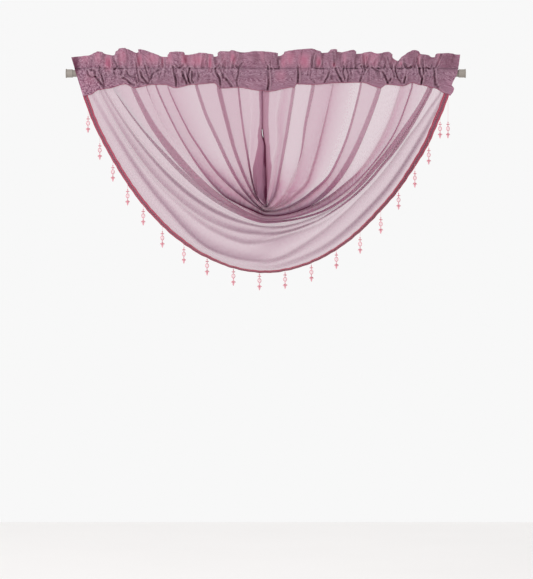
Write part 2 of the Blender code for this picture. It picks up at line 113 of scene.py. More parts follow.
# Stations along a crease, from the left of the seam (-1) by the middle (0) to the right of the seam (1).
# At each station a crease has its place among LINES (0 the slit, 1 to 12 the lines, 13 the hem), how far
# the cloth laps over itself in millimetres (0 is a soft wave), and how much closer its threads stand, which
# also paints the fold's shade on it and on the panels beside it, and past MOST_COVER a painted shadow.
# A crease can also run out on the right, from one such station to another.
STATIONS = (-1.0, -0.85, -0.7, -0.55, -0.35, -0.12, 0.12, 0.35, 0.55, 0.7, 0.85, 1.0)
NOWHERE = (0,) * len(STATIONS)
Crease = namedtuple("Crease", "depth place lap dark ends", defaults=((2.0, 3.0),))
CREASES = [
    Crease(2.0, (0.50, 0.50, 0.78, 0.97, 1.00, 0.88, 0.64, 0.65, 0.62, 0.75, 0.60, 0.68), NOWHERE,
           (0.03, 0.08, 0.15, 0.10, 0.05, 0.20, 0.10, 0.16, 0.22, 0.24, 0.24, 0.18)),
    Crease(4.6, (1.07, 1.05, 0.99, 1.02, 1.06, 0.92, 0.88, 0.98, 0.95, 0.97, 1.01, 1.09),
           (4.5, 4.5, 5.0, 5.0, 5.0, 4.0, 3.0, 5.0, 6.5, 7.5, 8.0, 8.0),
           (0.00, 0.02, 0.20, 0.85, 1.35, 0.80, 0.65, 0.75, 0.10, -0.08, -0.15, -0.18)),
    Crease(4.6, (2.08, 2.00, 1.97, 1.85, 1.70, 1.60, 1.80, 2.00, 2.00, 2.05, 1.88, 1.95),
           (11.0, 10.0, 8.5, 7.0, 5.0, 0.0, 0.0, 0.0, 1.0, 3.0, 7.0, 9.0),
           (-0.15, -0.12, -0.04, 0.22, 0.42, 0.00, 0.15, 0.12, 0.18, 0.12, -0.12, -0.22)),
    Crease(4.8, (3.07, 3.05, 2.90, 2.92, 3.05, 3.10, 2.55, 2.90, 3.22, 3.08, 3.00, 3.00),
           (7.5, 8.0, 8.5, 8.0, 6.0, 3.0, 0.0, 0.0, 0.5, 1.0, 1.5, 2.0),
           (-0.18, -0.16, -0.08, 0.10, 0.35, 0.45, 0.05, 0.30, 0.48, 0.50, 0.48, 0.42)),
    Crease(4.8, (4.25, 4.05, 3.90, 3.85, 3.65, 3.45, 3.35, 3.52, 3.75, 4.03, 4.15, 4.15),
           (2.5, 3.5, 5.0, 6.0, 5.0, 3.0, 3.0, 4.0, 7.0, 6.0, 5.5, 5.0),
           (0.25, 0.25, 0.20, 0.35, 0.95, 0.65, 0.85, 0.75, 0.60, 0.18, 0.02, -0.04)),
    Crease(5.0, (5.05, 5.00, 5.00, 5.10, 5.42, 4.60, 5.05, 5.15, 5.05, 5.00, 4.96, 5.00),
           (4.0, 4.0, 4.5, 5.0, 5.0, 4.0, 5.0, 7.0, 11.0, 13.5, 12.0, 10.5),
           (0.02, 0.04, 0.12, 0.40, 0.85, 1.35, 1.65, 1.30, 0.40, 0.08, -0.08, -0.12)),
    Crease(4.0, (5.65, 5.75, 5.60, 5.50, 5.65, 5.50, 5.80, 5.95, 5.92, 6.15, 6.03, 5.82),
           (2.5, 2.0, 0.0, 0.0, 0.0, 2.0, 3.0, 4.0, 3.0, 1.5, 1.0, 2.0),
           (0.10, 0.10, 0.00, 0.00, 0.10, 0.05, 0.25, 0.50, 0.42, 0.34, 0.28, 0.22)),
    Crease(5.2, (6.72, 6.75, 6.45, 6.32, 6.30, 6.35, 7.00, 6.92, 6.84, 6.86, 7.00, 6.58),
           (10.0, 14.0, 18.0, 16.0, 14.0, 6.0, 5.0, 5.0, 3.5, 3.5, 3.5, 3.5),
           (-0.22, -0.17, -0.17, -0.17, -0.23, -0.16, 0.05, 0.45, 0.42, 0.36, 0.28, 0.20)),
    Crease(5.4, (7.80, 7.62, 7.38, 7.30, 7.38, 7.62, 7.68, 7.90, 7.63, 7.34, 7.68, 8.15),
           (2.0, 4.0, 8.5, 10.5, 12.0, 8.0, 5.0, 5.5, 8.5, 10.5, 13.5, 9.0),
           (0.12, 0.00, -0.12, -0.15, -0.15, 0.10, 0.70, 0.65, 0.20, 0.18, 0.08, 0.02)),
    Crease(4.4, (8.35, 8.30, 8.25, 8.25, 8.25, 8.30, 8.30, 8.15, 7.97, 7.63, 7.92, 8.48),
           NOWHERE, NOWHERE, (0.1, 0.35)),
    Crease(4.2, (8.87, 8.72, 8.70, 8.75, 8.80, 8.78, 8.88, 8.32, 8.04, 7.68, 7.96, 8.52), NOWHERE,
           (0.20, 0.26, 0.36, 0.48, 0.50, 0.42, 0.44, 0.32, 0.00, 0.00, 0.00, 0.00), (0.35, 0.5)),
    Crease(4.2, (9.90, 9.78, 9.80, 9.75, 9.85, 9.85, 9.58, 9.15, 8.45, 7.88, 8.22, 8.74),
           (0.0, 0.0, 0.0, 0.0, 0.0, 0.0, 0.0, 2.5, 5.5, 6.0, 8.0, 5.5),
           (0.18, 0.25, 0.28, 0.30, 0.30, 0.44, 0.50, 0.46, 0.34, 0.30, 0.12, 0.08)),
    Crease(4.0, (10.6, 10.6, 10.5, 10.4, 10.7, 10.9, 10.1, 9.85, 9.00, 8.50, 8.68, 9.80), NOWHERE,
           (0.00, 0.00, 0.02, 0.06, 0.26, 0.36, 0.30, 0.08, 0.00, 0.00, 0.00, 0.00), (0.3, 0.5)),
    Crease(3.8, (12.1, 11.8, 11.9, 12.0, 12.35, 12.1, 11.85, 11.1, 9.62, 9.25, 9.02, 12.0),
           (0.0, 0.0, 0.0, 0.0, 0.0, 0.0, 0.0, 1.0, 1.5, 1.5, 1.5, 1.0),
           (0.14, 0.30, 0.38, 0.40, 0.46, 0.38, 0.32, 0.26, 0.22, 0.26, 0.28, 0.28)),
    Crease(3.6, (12.6, 12.6, 12.6, 12.65, 12.75, 12.65, 12.45, 12.42, 12.28, 12.30, 12.22, 12.4), NOWHERE,
           (0.00, 0.00, 0.00, 0.00, 0.00, 0.04, 0.22, 0.34, 0.44, 0.48, 0.46, 0.26)),
]
# How much more the threads cover on the panel before each crease, and before the hem: on the left, on the
# right. This is painted shade, and below 0 painted light: a panel that slants away from the light is made
# darker than the one beside it.
PANELS = [(0.03, 0.10), (0.05, 0.08), (0.09, 0.02), (0.05, 0.16), (-0.06, -0.11), (0.07, 0.09), (0.02, -0.06),
          (0.05, 0.08), (0.0, -0.04), (-0.03, 0.0), (0.0, 0.0), (0.02, -0.03), (-0.03, -0.06), (-0.05, -0.06),
          (-0.02, -0.03), (0.0, -0.04)]
SWAG_ROWS = 241
SIDE_RUN = 0.2            # from the left of the middle to the right of it, where a crease changes sides
PANEL_SIDE_RUN = 0.5
PANEL_EASE = (0.1, 0.4)   # a panel's own cover eases off towards the middle
SLIT_FORWARD = 9          # as the lines' forward
CREASE_EASE = 15          # rows over which a crease's stations are eased into each other
TURN_WIDTH = 2.2          # front to back, where the cloth turns round a fold's edge
SOFT_LAP = 3.0            # a lap under this is partly a wave
SOFT_SHARE = 0.30         # how far a wave runs towards its neighbour
SOFT_MOST = 4.0           # and at most
FADED = 0.12              # what is left of a crease where it has run out
DEPTH_AT_SEAM = 0.42      # share of a fold's depth that is left where the seam catches it
SEAM_RUN = 0.22           # and the share of the line over which it grows
NEAR_FOLD = 2.5           # a column of points this close to each fold's edge keeps it crisp
NEAR_MOST, RUN_MOST = 0.2, 0.36     # but at most this share of the panel's width
LEAST_WIDTH = 1.0         # and a panel counts as at least this wide
FACE_BELLY = 1.2          # how far a panel bellies out between its folds
TUCKED_UP = 4.0           # the swag's top edge is caught this far up inside the heading

# How much of the view the voile's threads cover; past MOST_COVER a place only gets deeper painted shadow
COVER_LEFT = 0.57
COVER_RIGHT = 0.50
CROWDED = 0.26            # more where the lines run close together
CROWDED_FROM, CROWDED_RUN = 10.0, 6.0     # the distance from which that starts, and over which it grows
CROWDED_SIDE, CROWDED_LOW = (0.5, 0.15), (8.3, 0.7)     # and where that ends: share of the way out, place
SLIT_HEM_COVER = 0.22     # more where a hem is turned
HEM_COVER = 0.1
# and more along the fold of the slit's hem, by share of the way up
SLIT_EDGE_DARK = [(0, 0.8), (0.1, 0.8), (0.18, 0.3), (0.32, 0.3), (0.4, 0.9), (0.55, 1.1), (0.63, 0.9),
                  (0.7, 0.5), (1, 0.4)]
MOST_COVER = 0.93
SHADOW_RUN = 0.45         # how far past it the shadow is at its deepest
# The soft creases under the gather are in painted grey shade: columns of points from and over which that
# starts, and how much closer the threads stand where it is full
DULL_FROM, DULL_RUN = 156, 12
DULL_COVER = 0.4
# and so is the lapped fold beside the broad one on the left: its columns, where it ends, how much
GREY_FOLD, GREY_RUN = (145, 159), 4
GREY_TO, GREY_MOST = -0.1, 0.9
PANEL_MOST = 0.42         # the most that a fold's shade darkens the panel beside it
PANEL_DEEP = 0.3          # but a crease darker than 1 spreads on as painted shadow
SHADE_RUN = 13.0          # and how far the shade reaches
# How much of a crease's darkness the four columns round its turns take: where it laps, where it is a soft
# wave on the left, and where it is one on the right
FOLD_SHADES = [(0.6, 0.9, 0.1), (1.0, 1.0, 0.7), (1.0, 0.7, 1.0), (0.6, 0.1, 0.9)]
# How much a panel's four columns take of the shade of the fold before it and of the one after it: on the
# left, on the right
PANEL_SHADES = [((0.15, 0.85), (0.0, 0.0)), ((0.0, 0.55), (0.15, 0.0)), ((0.0, 0.15), (0.55, 0.0)),
                ((0.0, 0.0), (0.85, 0.15))]
# The threads that the gather draws together between the slit and the bundle's lower edge, by place along the
# line, and how that goes on from line to line
DRAWN = [(-0.6, 0), (-0.5, 0.06), (-0.4, 0.14), (-0.28, 0.28), (-0.12, 0.28), (0, 0.2), (0.12, 0.3),
         (0.3, 0.34), (0.42, 0.2), (0.55, 0.06), (0.68, 0)]
DRAWN_PLACES = [(0, 0), (0.9, 0.5), (1.3, 1), (5.2, 1), (6.2, 0.1), (8, 0), (13, 0)]
# and again lower down, at the right of the middle: by place along the line, then from and to which line
DRAWN_LOW = [(0, 0), (0.1, 0.08), (0.2, 0.22), (0.45, 0.26), (0.6, 0.16), (0.7, 0)]
DRAWN_LOW_FROM, DRAWN_LOW_TO, DRAWN_LOW_RUN = 5.6, 7.4, 0.6
# The panel beside the slit stands edge on to the light towards the gather: its threads are made to cover more
# there, as painted shade
WEDGE = [(-1, 0), (-0.7, 0.0), (-0.5, 0.12), (-0.4, 0.2), (-0.2, 0.3), (-0.08, 0.5), (0, 0.4), (0.08, 0.35),
         (0.18, 0.2), (0.3, 0.1), (0.5, 0), (1, 0)]
WEDGE_TO, WEDGE_RUN = 0.95, 0.2
# How much of the slit's shade falls on the panel beside it, by share of the way up
SLIT_SHADE = [(0, 0.45), (0.3, 0.42), (0.5, 0.2), (0.7, 0.05), (1, 0.03)]

# The slit's two sides meet on this line and lap a little: share of the way up from the gather, value
SLIT_MIDDLE = [(0, 1.3), (0.5, -1.5), (0.66, -8.4), (1, SLIT_TOP_X)]
SLIT_LAP = [(0, 0), (0.1, 2.0), (0.54, 1.8), (0.62, -0.5), (0.65, -0.5), (0.71, 1.8), (1, 1.8)]
SLIT_FRONT = 1.7          # one side comes forward and the other goes back by this much
SLIT_OPENS = 0.12         # share of the way up over which one side comes to lie before the other
SLIT_CAUGHT, SLIT_CAUGHT_RUN = 0.4, 0.1     # what is left of that at the seam, and over which share
# The hem turned back along each side of the slit
SLIT_HEMS_LEFT = [(0, 0), (0.08, 22), (0.18, 32), (0.27, 34), (0.33, 31), (0.4, 26), (0.53, 18), (0.64, 9),
                  (0.8, 7), (1, 9)]
SLIT_HEMS_RIGHT = [(0, 0), (0.08, 20), (0.18, 28), (0.28, 21), (0.4, 14), (0.55, 13), (0.68, 16),
                   (0.85, 17), (1, 19)]
SLIT_HEM_MOST = 0.98      # at most this share of the way to the first crease
SLIT_HEM_BEHIND = (1.0, 0.6, 0.25, 0.04)     # where its columns are, as shares of the hem's width
SLIT_HEM_BEFORE = (0.04, 0.3)

# The heading

# The ruffle that stands above the stitching: place along its top edge, height
CREST = [
    (-449.4, 37.7), (-430.6, 39.5), (-407.6, 41.8), (-396.8, 47), (-386.2, 51), (-370.4, 44.8),
    (-354.6, 42.5), (-351.8, 50.5), (-341.7, 55.6), (-327.2, 59), (-313, 54.9), (-298.5, 47.5),
    (-296.2, 54.9), (-290, 56.7), (-267, 49.2), (-244, 40.4), (-232.6, 39), (-221, 49.2), (-206.6, 51),
    (-191, 49.8), (-186.6, 44.1), (-166.4, 44.8), (-155, 48.2), (-143.4, 47.1), (-123.5, 44.8),
    (-117.7, 38.4), (-112, 44.8), (-106.2, 51.9), (-86, 50.5), (-78.9, 54), (-60.3, 49.8), (-37.3, 49.8),
    (-25.8, 51.9), (5.2, 50.5), (23, 48.2), (31.6, 40.4), (43, 50.5), (63.3, 54), (86.3, 56.3),
    (106.2, 57.7), (126.5, 51.9), (130.6, 47.5), (146.4, 51), (157.9, 56.3), (175.2, 49.2), (203.9, 54.9),
    (214, 46.2), (234.9, 49.2), (244, 50.5), (261.3, 45.3), (272.8, 49.2), (284.3, 50.5), (298.7, 43.4),
    (307.2, 28.9), (318.7, 39), (333.2, 50.5), (344.7, 54), (358.9, 49.2), (361.9, 44.8), (381.9, 43.4),
    (390.6, 37.7), (399.1, 46.2), (422.1, 47.1), (446.4, 44.1),
]
CREST_EASE = 5             # columns over which the crest's corners are eased
# How far the ruffle leans back (towards +) at places along its top edge
LEANS = [
    (-449, 1.5), (-420, -3), (-388, -8), (-355, 8), (-330, -9.5), (-298, 8), (-292, -6.5), (-262, -1.5),
    (-238, 8), (-214, -8), (-190, -3), (-186, 8), (-155, -8), (-124, -1.5), (-117, 8), (-105, -6.5),
    (-79, -8), (-52, 5), (-26, -6.5), (22, -5), (33, 8), (57, -8), (101, -8), (125, -1.5), (138, 8),
    (158, -9.5), (170, 6.5), (203, -8), (216, 8), (240, -5), (258, -8), (284, -3), (308, 9.5), (325, -5),
    (346, -9.5), (368, -1.5), (390, 8), (403, -6.5), (425, -5), (447, 3),
]
RUFFLE_OVERHANG, OVERHANG_MOST = 0.35, 4     # how its flutes hang over sideways, and the most
FLUTES = [(1.5, 27.0, 0.3), (1.1, 17.0, 1.9), (0.6, 11.0, 4.0)]     # depth, pitch, phase
# Where the ruffle's two layers part and light comes through, painted into the cloth's colour as a pinker
# glow (or, below 0, where a hem thickens them, painted shade): place, height, half width, half height,
# strength
THIN = [
    (-416, 38, 10, 16, 0.35), (-386, 36, 8, 14, 0.5), (-363, 24, 8, 18, 1.0), (-330, 38, 11, 16, 0.6),
    (-291, 30, 6, 14, 1.0), (-261, 34, 16, 12, 0.6), (-238, 28, 3, 14, 0.8), (-222, 34, 7, 14, 0.5),
    (-187, 32, 7, 14, 0.9), (-156, 30, 20, 14, 0.7), (-128, 26, 4, 18, 0.9), (-75, 34, 6, 12, 0.9),
    (-96, 30, 6, 16, 0.3), (-8, 36, 6, 14, 0.5), (40, 26, 6, 16, 0.6), (56, 34, 10, 16, 0.6),
    (88, 28, 13, 18, 0.75), (122, 27, 6, 12, 1.0), (157, 20, 4, 6, 1.0), (181, 34, 5, 14, 0.4),
    (228, 34, 7, 14, 0.8), (249, 32, 12, 16, 0.45), (293, 30, 8, 14, 0.35), (310, 22, 4, 5, 0.8),
    (352, 32, 4, 16, 0.7), (398, 34, 3, 16, 0.7), (-404, -12, 12, 14, 0.3), (34, -6, 12, 12, 0.45),
    (-440, 16, 10, 30, -1.0), (424, 28, 24, 24, -0.4), (337, 36, 13, 16, -0.35), (380, 28, 9, 16, -0.3),
    (272, 36, 12, 12, -0.25), (-20, 30, 16, 14, -0.3), (15, 32, 12, 12, -0.2),
]
# Where the gathering stitches sink into deep shade: from, to
GATHER_DASHES = [(-448, -425), (-366, -361), (-352, -326), (17, 33), (112, 135), (176, 214), (252, 270),
                 (300, 318), (351, 366), (372, 382)]
HEADING_COLUMNS = 761
# The front of the pocket in section: out from the rod's axis, height; the back is the same, mirrored
POCKET_SECTION = [(5.5, -17.5), (10.8, -9), (12.4, 0), (10.0, 8.2), (3.6, 11.4), (1.3, 12.0), (1.2, 12.6)]
FOOT_FRONT = 3.4           # from the rod's axis to the front layer's lower edge
FOOT_BACK = 2.6            # and to the back layer's
FOOT_RISE = 2.0            # the pocket starts at least this far above its foot
RUFFLE_GAP = 1.2           # from the middle of the ruffle to either layer
RUFFLE_SHARES = (0.22, 0.5, 0.78, 0.95)     # where the ruffle's section has its points, on its way up
RUFFLE_CURL = 1.2          # over 1, the ruffle leans more and more on its way up
SECTION_STEPS = 4

# Gathering creases of the heading, front view: strength, then the points that each runs through.
# A strength is how deep the groove is and how wide.
DEEP, PLAIN, FAINT = (4.6, 1.9), (3.2, 1.6), (1.7, 1.9)
GROOVES = [
    (PLAIN, [(-410, 5), (-407, -6), (-401, -9), (-391, -8)]),
    (DEEP, [(-401, 7), (-392, 5), (-391, -8), (-382, -20), (-370, -34)]),
    (PLAIN, [(-382, 15), (-382, 5), (-376, -9), (-372, -26), (-366, -34)]),
    (PLAIN, [(-341, 17), (-345, 11), (-349, 7)]),
    (DEEP, [(-329, -11), (-321, -14), (-311, -24), (-303, -26)]),
    (PLAIN, [(-321, 5), (-315, -6), (-298, -11), (-296, -22)]),
    (PLAIN, [(-298, 23), (-296, 11), (-294, -3), (-292, -18), (-276, -24)]),
    (DEEP, [(-288, 3), (-284, -9), (-272, -24), (-267, -26)]),
    (PLAIN, [(-278, 19), (-276, 9), (-270, -6), (-267, -18), (-272, -24)]),
    (PLAIN, [(-245, 7), (-259, -1), (-265, -14)]), (FAINT, [(-223, 28), (-223, 15)]),
    (DEEP, [(-213, 15), (-210, -3), (-206, -18), (-206, -28)]),
    (PLAIN, [(-206, 19), (-200, 11), (-190, 19)]), (DEEP, [(-192, 3), (-188, -9), (-181, -24)]),
    (PLAIN, [(-183, 13), (-181, -3), (-177, -18)]),
    (DEEP, [(-175, 11), (-177, -3), (-177, -18), (-173, -24)]),
    (PLAIN, [(-169, 3), (-171, -14), (-167, -22)]), (FAINT, [(-153, -3), (-156, -18)]),
    (DEEP, [(-116, 11), (-114, 1), (-106, -11), (-104, -28)]), (PLAIN, [(-106, 21), (-112, 15), (-116, 9)]),
    (PLAIN, [(-108, 17), (-102, 3), (-94, -14), (-89, -16)]), (DEEP, [(-92, -11), (-83, -24), (-77, -32)]),
    (PLAIN, [(-69, 19), (-63, 11), (-55, 23)]), (PLAIN, [(-61, 15), (-63, -3), (-67, -18), (-65, -30)]),
    (FAINT, [(-55, -24), (-42, -30)]), (DEEP, [(5, 16), (6, 0), (7, -26), (4, -39)]),
    (PLAIN, [(5, 10), (15, 10)]), (DEEP, [(74, 17), (75, 0), (74, -23)]), (FAINT, [(103, -13), (112, -20)]),
    (PLAIN, [(148, 9), (145, -3), (138, -16), (135, -21)]), (DEEP, [(161, 11), (167, -5), (177, -21)]),
    (FAINT, [(164, -15), (169, -21)]), (PLAIN, [(180, 16), (178, 0), (182, -13)]),
    (PLAIN, [(186, 9), (191, -5), (188, -23)]), (PLAIN, [(217, 23), (207, 17), (206, 11)]),
    (PLAIN, [(220, 17), (224, 8), (220, -5), (216, -20)]), (DEEP, [(224, 47), (226, 19), (228, 6)]),
    (PLAIN, [(237, 17), (230, 8), (223, -6), (218, -18)]), (PLAIN, [(245, 13), (251, 8), (263, 3)]),
    (DEEP, [(259, 11), (265, 6), (273, -4), (279, -18), (281, -24)]), (DEEP, [(288, -13), (281, -22)]),
    (PLAIN, [(291, 22), (289, 11), (295, -1), (296, -9)]),
    (PLAIN, [(298, 15), (298, 3), (303, -11), (314, -24)]), (DEEP, [(321, -9), (318, -22)]),
    (DEEP, [(319, 22), (324, 13), (328, 10), (335, 15)]), (DEEP, [(349, 34), (351, 20), (354, 11)]),
    (DEEP, [(353, 11), (354, 3), (360, -13), (358, -25)]),
    (PLAIN, [(361, 31), (363, 15), (361, -6), (358, -24)]), (DEEP, [(369, 13), (374, 11)]),
    (DEEP, [(387, 11), (388, -6), (390, -24), (397, -34)]), (PLAIN, [(405, 45), (395, 22), (391, 13)]),
    (PLAIN, [(-353, 46), (-349, 30), (-342, 16)]),
    (PLAIN, [(-298, 52), (-294, 36), (-291, 18)]), (PLAIN, [(-239, 39), (-238, 28), (-237, 15)]),
    (PLAIN, [(22, 45), (27, 30), (31, 13)]), (PLAIN, [(112, 46), (107, 31), (108, 14)]),
    (PLAIN, [(156, 48), (158, 31), (157, 17)]), (PLAIN, [(299, 17), (306, 30), (315, 42)]),
    (PLAIN, [(274, 36), (277, 24), (272, 12)]),
]
GROOVE_REACH = 6           # how far a groove is felt, in its own widths
RIM_PLACE = 2.1            # where the cloth rolls up beside it, in its own widths
GROOVE_RIM = 0.42          # how high that roll is
GROOVE_SIDE = 0.30         # and how much more on the side that laps over it
GROOVE_LONG = 1.0          # no groove counts as shorter than this from its top to its foot
SHADOW_TOP, SHADOW_FOOT = 0.85, 1.75     # how wide its shadow is there, in its own widths
SHADOW_LEAST, SHADOW_MORE_TOP, SHADOW_MORE_FOOT = 0.12, 0.55, 0.95     # and how dark
SHADOW_BROKEN = 0.38       # how uneven it is, and how that runs over the cloth
BROKEN_RUNS = ((0.31, 0.47), (0.17, -0.36))
SHADOW_CROSSED = 0.5       # how much of it is lost where another groove's lies already
# Small creases that the gathering stitches draw in, and the broader soft rolls between them: how many, how
# deep, how wide, and the longest
PUCKERS = [(150, 1.6, 1.4, 26), (120, 1.7, 2.6, 34)]
PUCKERS_FROM_END = 8
PUCKER_SHIFT, PUCKER_LEAN, PUCKER_SHORTEST = 6, 9, 4
PUCKERS_IN_RUFFLE = 0.45   # the share of them that runs up from the stitches
PUCKER_WEAKEST = 0.4       # of the depths above
PUCKER_START = 1.5         # from the stitches
PUCKER_BEND = 0.4          # the share of its lean that a pucker has half way along
SMOOTH_RUNS = [(-449, -410), (-60, -2), (12, 70), (80, 98), (395, 449)]     # where it isn't gathered
# The heading's right end isn't cut straight, and the hem's corner sticks out of it: height, how far out
RIGHT_END = [(-51, 0), (-44, 3), (-39, 6), (-35, 4), (-30, -4), (-20, -4), (-8, -1), (0, 0), (20, -2),
             (44, -6)]
RIGHT_END_FROM, RIGHT_END_RUN = 396, 26
POCKET_CLEAR = 0.8         # between the rod and the cloth pressed against it
CALM_CREST, CALM_FOOT = 6, 5     # over which the grooves ease out towards the ruffle's edge and the seam
BACK_SHARE = 0.6           # how much of a groove's depth and of its shadow is on the heading's back
BACK_SHADOW = 0.4
CALM_SHADOW = 0.4          # and how much of its shadow is left where it has eased out
POCKET_COVER, RUFFLE_COVER, COVER_RUN = 0.965, 0.88, 6     # how much of the view the double cloth covers
# The shade along the gathering stitches: how far below them, how wide, how dark between the dashes, how much
# darker at them, and how a dash fades in
GATHER_SHADE_BELOW, GATHER_SHADE_WIDE, GATHER_SHADE, DASH_SHADE, DASH_EASE = 1.5, 1.6, 0.10, 0.80, 2
CREST_LIGHT = 1.1          # how strong the painted highlight is where the cloth rolls up beside a groove

# Braid, cords, stitches and drops

BRAID_ROWS = 481
# The tape in section, round from the front: share of its width, share of its thickness
BRAID_SECTION = [(0, 0.3), (0.06, 0.7), (0.2, 0.92), (0.5, 1.0), (0.8, 0.92), (0.94, 0.7), (1, 0.3),
                 (0.8, 0.0), (0.2, 0.0)]
EDGING_RADIUS = 1.0
ZIGZAG_PITCH, ZIGZAG_LENGTH, ZIGZAG_RADIUS, ZIGZAG_SLANT = 3.0, 7.0, 0.32, 1.0
OVERLOCK_RADIUS, OVERLOCK_SHIFT = 0.6, (0, -0.2, 0.3)
EDGING_PLACES, EDGING_OUT = (0.03, 0.97), 0.6     # shares of the tape's width and thickness
CORD_SIDES, THREAD_SIDES, STITCH_SIDES, STITCH_BENDS = 6, 5, 5, 4
STITCH_PITCH, STITCH_LENGTH, STITCH_RADIUS = 3.2, 2.4, 0.35
DROP_COUNT = 20
DROP_LENGTH = 38.5
DROP_TURN = 0.35           # radians that a drop may be turned from facing the front
THREAD_RADIUS = 0.32
THREAD_CAUGHT = 1.2        # how far its thread goes on into the braid
# Below the thread's top: the middle of a seed bead, half its length, its radius
SEED_BEADS = [(1.3, 1.3, 1.7), (3.4, 0.9, 1.0), (8.6, 1.2, 1.1), (22.4, 1.2, 1.1), (24.6, 1.1, 1.5)]
SEED_SIDES, ARM_SIDES, CORE_SIDES = 8, 6, 12
SEED_STEPS, CORE_STEPS = 5, 8
HOLE_RADIUS = 0.35
# The four-pointed spacer, the ring round a clear bead, the six-petalled flower and the tip below it. An arm,
# a petal and the tip are turned through rows of distance and radius.
SPACER_BELOW, SPACER_ARMS = 5.8, 4
SPACER_ARM = [(0.4, 1.2), (2.0, 1.5), (3.2, 1.1), (4.4, 0.3)]
RING_BELOW, RING_WIDE, RING_TALL, RING_THICK, RING_STEPS = 15.6, 3.7, 4.9, 0.85, 20
RING_DEEP, RING_SIDES = 1.25, 6
CORE_GAP = 0.4
FLOWER_BELOW, PETALS, PETAL_DROOP = 26.4, 6, -0.75
PETAL = [(0.3, 0.7), (2.4, 1.4), (4.6, 1.5), (6.4, 0.4)]
TIP = [(FLOWER_BELOW, 1.4), (31.0, 2.5), (33.5, 2.2), (36.5, 1.2), (38.3, 0.4)]
DOWN = (0, 0, -1)
NEAR_Y = 0.9               # a turned shape whose axis is this much along Y takes its side from X


# Small helpers

def smooth(value):
    """0 below 0 and 1 above 1, with an easy run between them."""
    value = np.clip(value, 0.0, 1.0)
    return value * value * (3.0 - 2.0 * value)


def mix(first, second, share):
    return first + (second - first) * share


def eased(x, rows):
    """The second column of a table at x, level at each row and easy between rows."""
    places, values = np.array(rows, float)[:, 0], np.array(rows, float)[:, 1]
    index = np.clip(np.searchsorted(places, x) - 1, 0, len(places) - 2)
    share = (x - places[index]) / (places[index + 1] - places[index])
    return mix(values[index], values[index + 1], smooth(share))


def seam_height(x):
    return eased(x, SEAM)


def spline(columns, steps):
    """A cubic B-spline through rows of points, with this many steps from each to the next."""
    padded = np.concatenate([[2 * columns[0] - columns[1]], columns, [2 * columns[-1] - columns[-2]]])
    count = len(columns)
    place = np.linspace(0, count - 1, (count - 1) * steps + 1)
    first = np.minimum(place.astype(int), count - 2)
    u = (place - first).reshape((-1,) + (1,) * (columns.ndim - 1))
    a, b, c, d = (padded[first + k] for k in range(4))
    return (
        (1 - u) ** 3 * a + (3 * u**3 - 6 * u**2 + 4) * b + (-3 * u**3 + 3 * u**2 + 3 * u + 1) * c + u**3 * d
    ) / 6


def arc(points, axis):
    """Length along a grid of points in one direction, from its first row."""
    steps = np.linalg.norm(np.diff(points, axis=axis), axis=-1)
    start = np.zeros_like(np.take(steps, [0], axis=axis))
    return np.concatenate([start, np.cumsum(steps, axis=axis)], axis=axis)


def to_frame(points):
    """Millimetres from the middle of the rod as metres in the part's frame."""
    placed = np.array(points, float) * MM
    placed[..., 0] += ROD_LENGTH / 2 * MM
    return placed


def link(name, mesh):
    piece = bpy.data.objects.new(name, mesh)
    bpy.context.scene.collection.objects.link(piece)
    return piece


def sheet_piece(name, points, finish, flat, marks, closed=False):
    """A grid of points in millimetres as one sheet, with its cloth's flat places as UV and its marks."""
    columns, rows = points.shape[:2]
    mesh = bpy.data.meshes.new(name)
    index = np.arange(columns * rows).reshape(columns, rows)
    if closed:
        index = np.concatenate([index, index[:1]])
    faces = np.stack([index[:-1, :-1], index[1:, :-1], index[1:, 1:], index[:-1, 1:]], axis=-1)
    mesh.from_pydata(to_frame(points).reshape(-1, 3).tolist(), [], faces.reshape(-1, 4).tolist())
    mesh.polygons.foreach_set("use_smooth", [True] * len(mesh.polygons))
    corners = np.empty(len(mesh.loops), int)
    mesh.loops.foreach_get("vertex_index", corners)
    uv = mesh.uv_layers.new(name="cut")
    uv.data.foreach_set("uv", (flat.reshape(-1, 2)[corners] * MM).ravel())
    for mark, values in marks.items():
        mesh.attributes.new(mark, "FLOAT", "POINT").data.foreach_set("value", values.ravel())
    mesh.materials.append(finish)
    return link(name, mesh)


# The swag

def drape_line(t, line):
    """A line in the front view, from the left of the seam (t = -1) through the middle to the right."""
    on_left = t < 0
    s = np.abs(t)
    top = np.where(on_left, line.left, line.right)
    vee = np.where(on_left, line.vee_left, line.vee_right)
    hook = np.where(on_left, line.hook_left, line.hook_right)
    straight = (np.hypot(s, VEE_ROUNDING) - VEE_ROUNDING) / (hypot(1, VEE_ROUNDING) - VEE_ROUNDING)
    rise = vee * straight + (1 - vee - hook) * s**2 + hook * s**4
    x = mix(CENTRE_X, top, s)
    return np.stack([x, mix(line.centre, seam_height(top), rise)], axis=1)


def slit_line(t):
    """The slit's two edges, down one side to the gather and up the other."""
    s = np.abs(t)
    x = eased(s, SLIT_MIDDLE) - np.sign(t) * eased(s, SLIT_LAP)
    return np.stack([x, mix(GATHER_Z, seam_height(x), s)], axis=1)


def outward(line):
    """Unit vectors across a line in the front view, towards the hem."""
    along = np.gradient(line, axis=0)
    along /= np.linalg.norm(along, axis=1)[:, None]
    return np.stack([along[:, 1], -along[:, 0]], axis=1)


def along_crease(values, t):
    """A crease's value at each row, eased between its stations."""
    window = np.hanning(CREASE_EASE + 2)[1:-1]
    window /= window.sum()
    raw = np.interp(t, STATIONS, values)
    half = CREASE_EASE // 2
    padded = np.concatenate([2 * raw[0] - raw[half:0:-1], raw, 2 * raw[-1] - raw[-2:-half - 2:-1]])
    return np.convolve(padded, window, "valid")


def on_net(net, place):
    """Front-view points at a place between the net's lines for each row."""
    rows = np.arange(net.shape[1])
    index = np.clip(place.astype(int), 0, len(net) - 2)
    share = (place - index)[:, None]
    return mix(net[index, rows], net[index + 1, rows], share)


def on_right(t, run):
    """0 at the left of the middle and 1 at the right of it, easy over a run."""
    return smooth(t / run + 0.5)


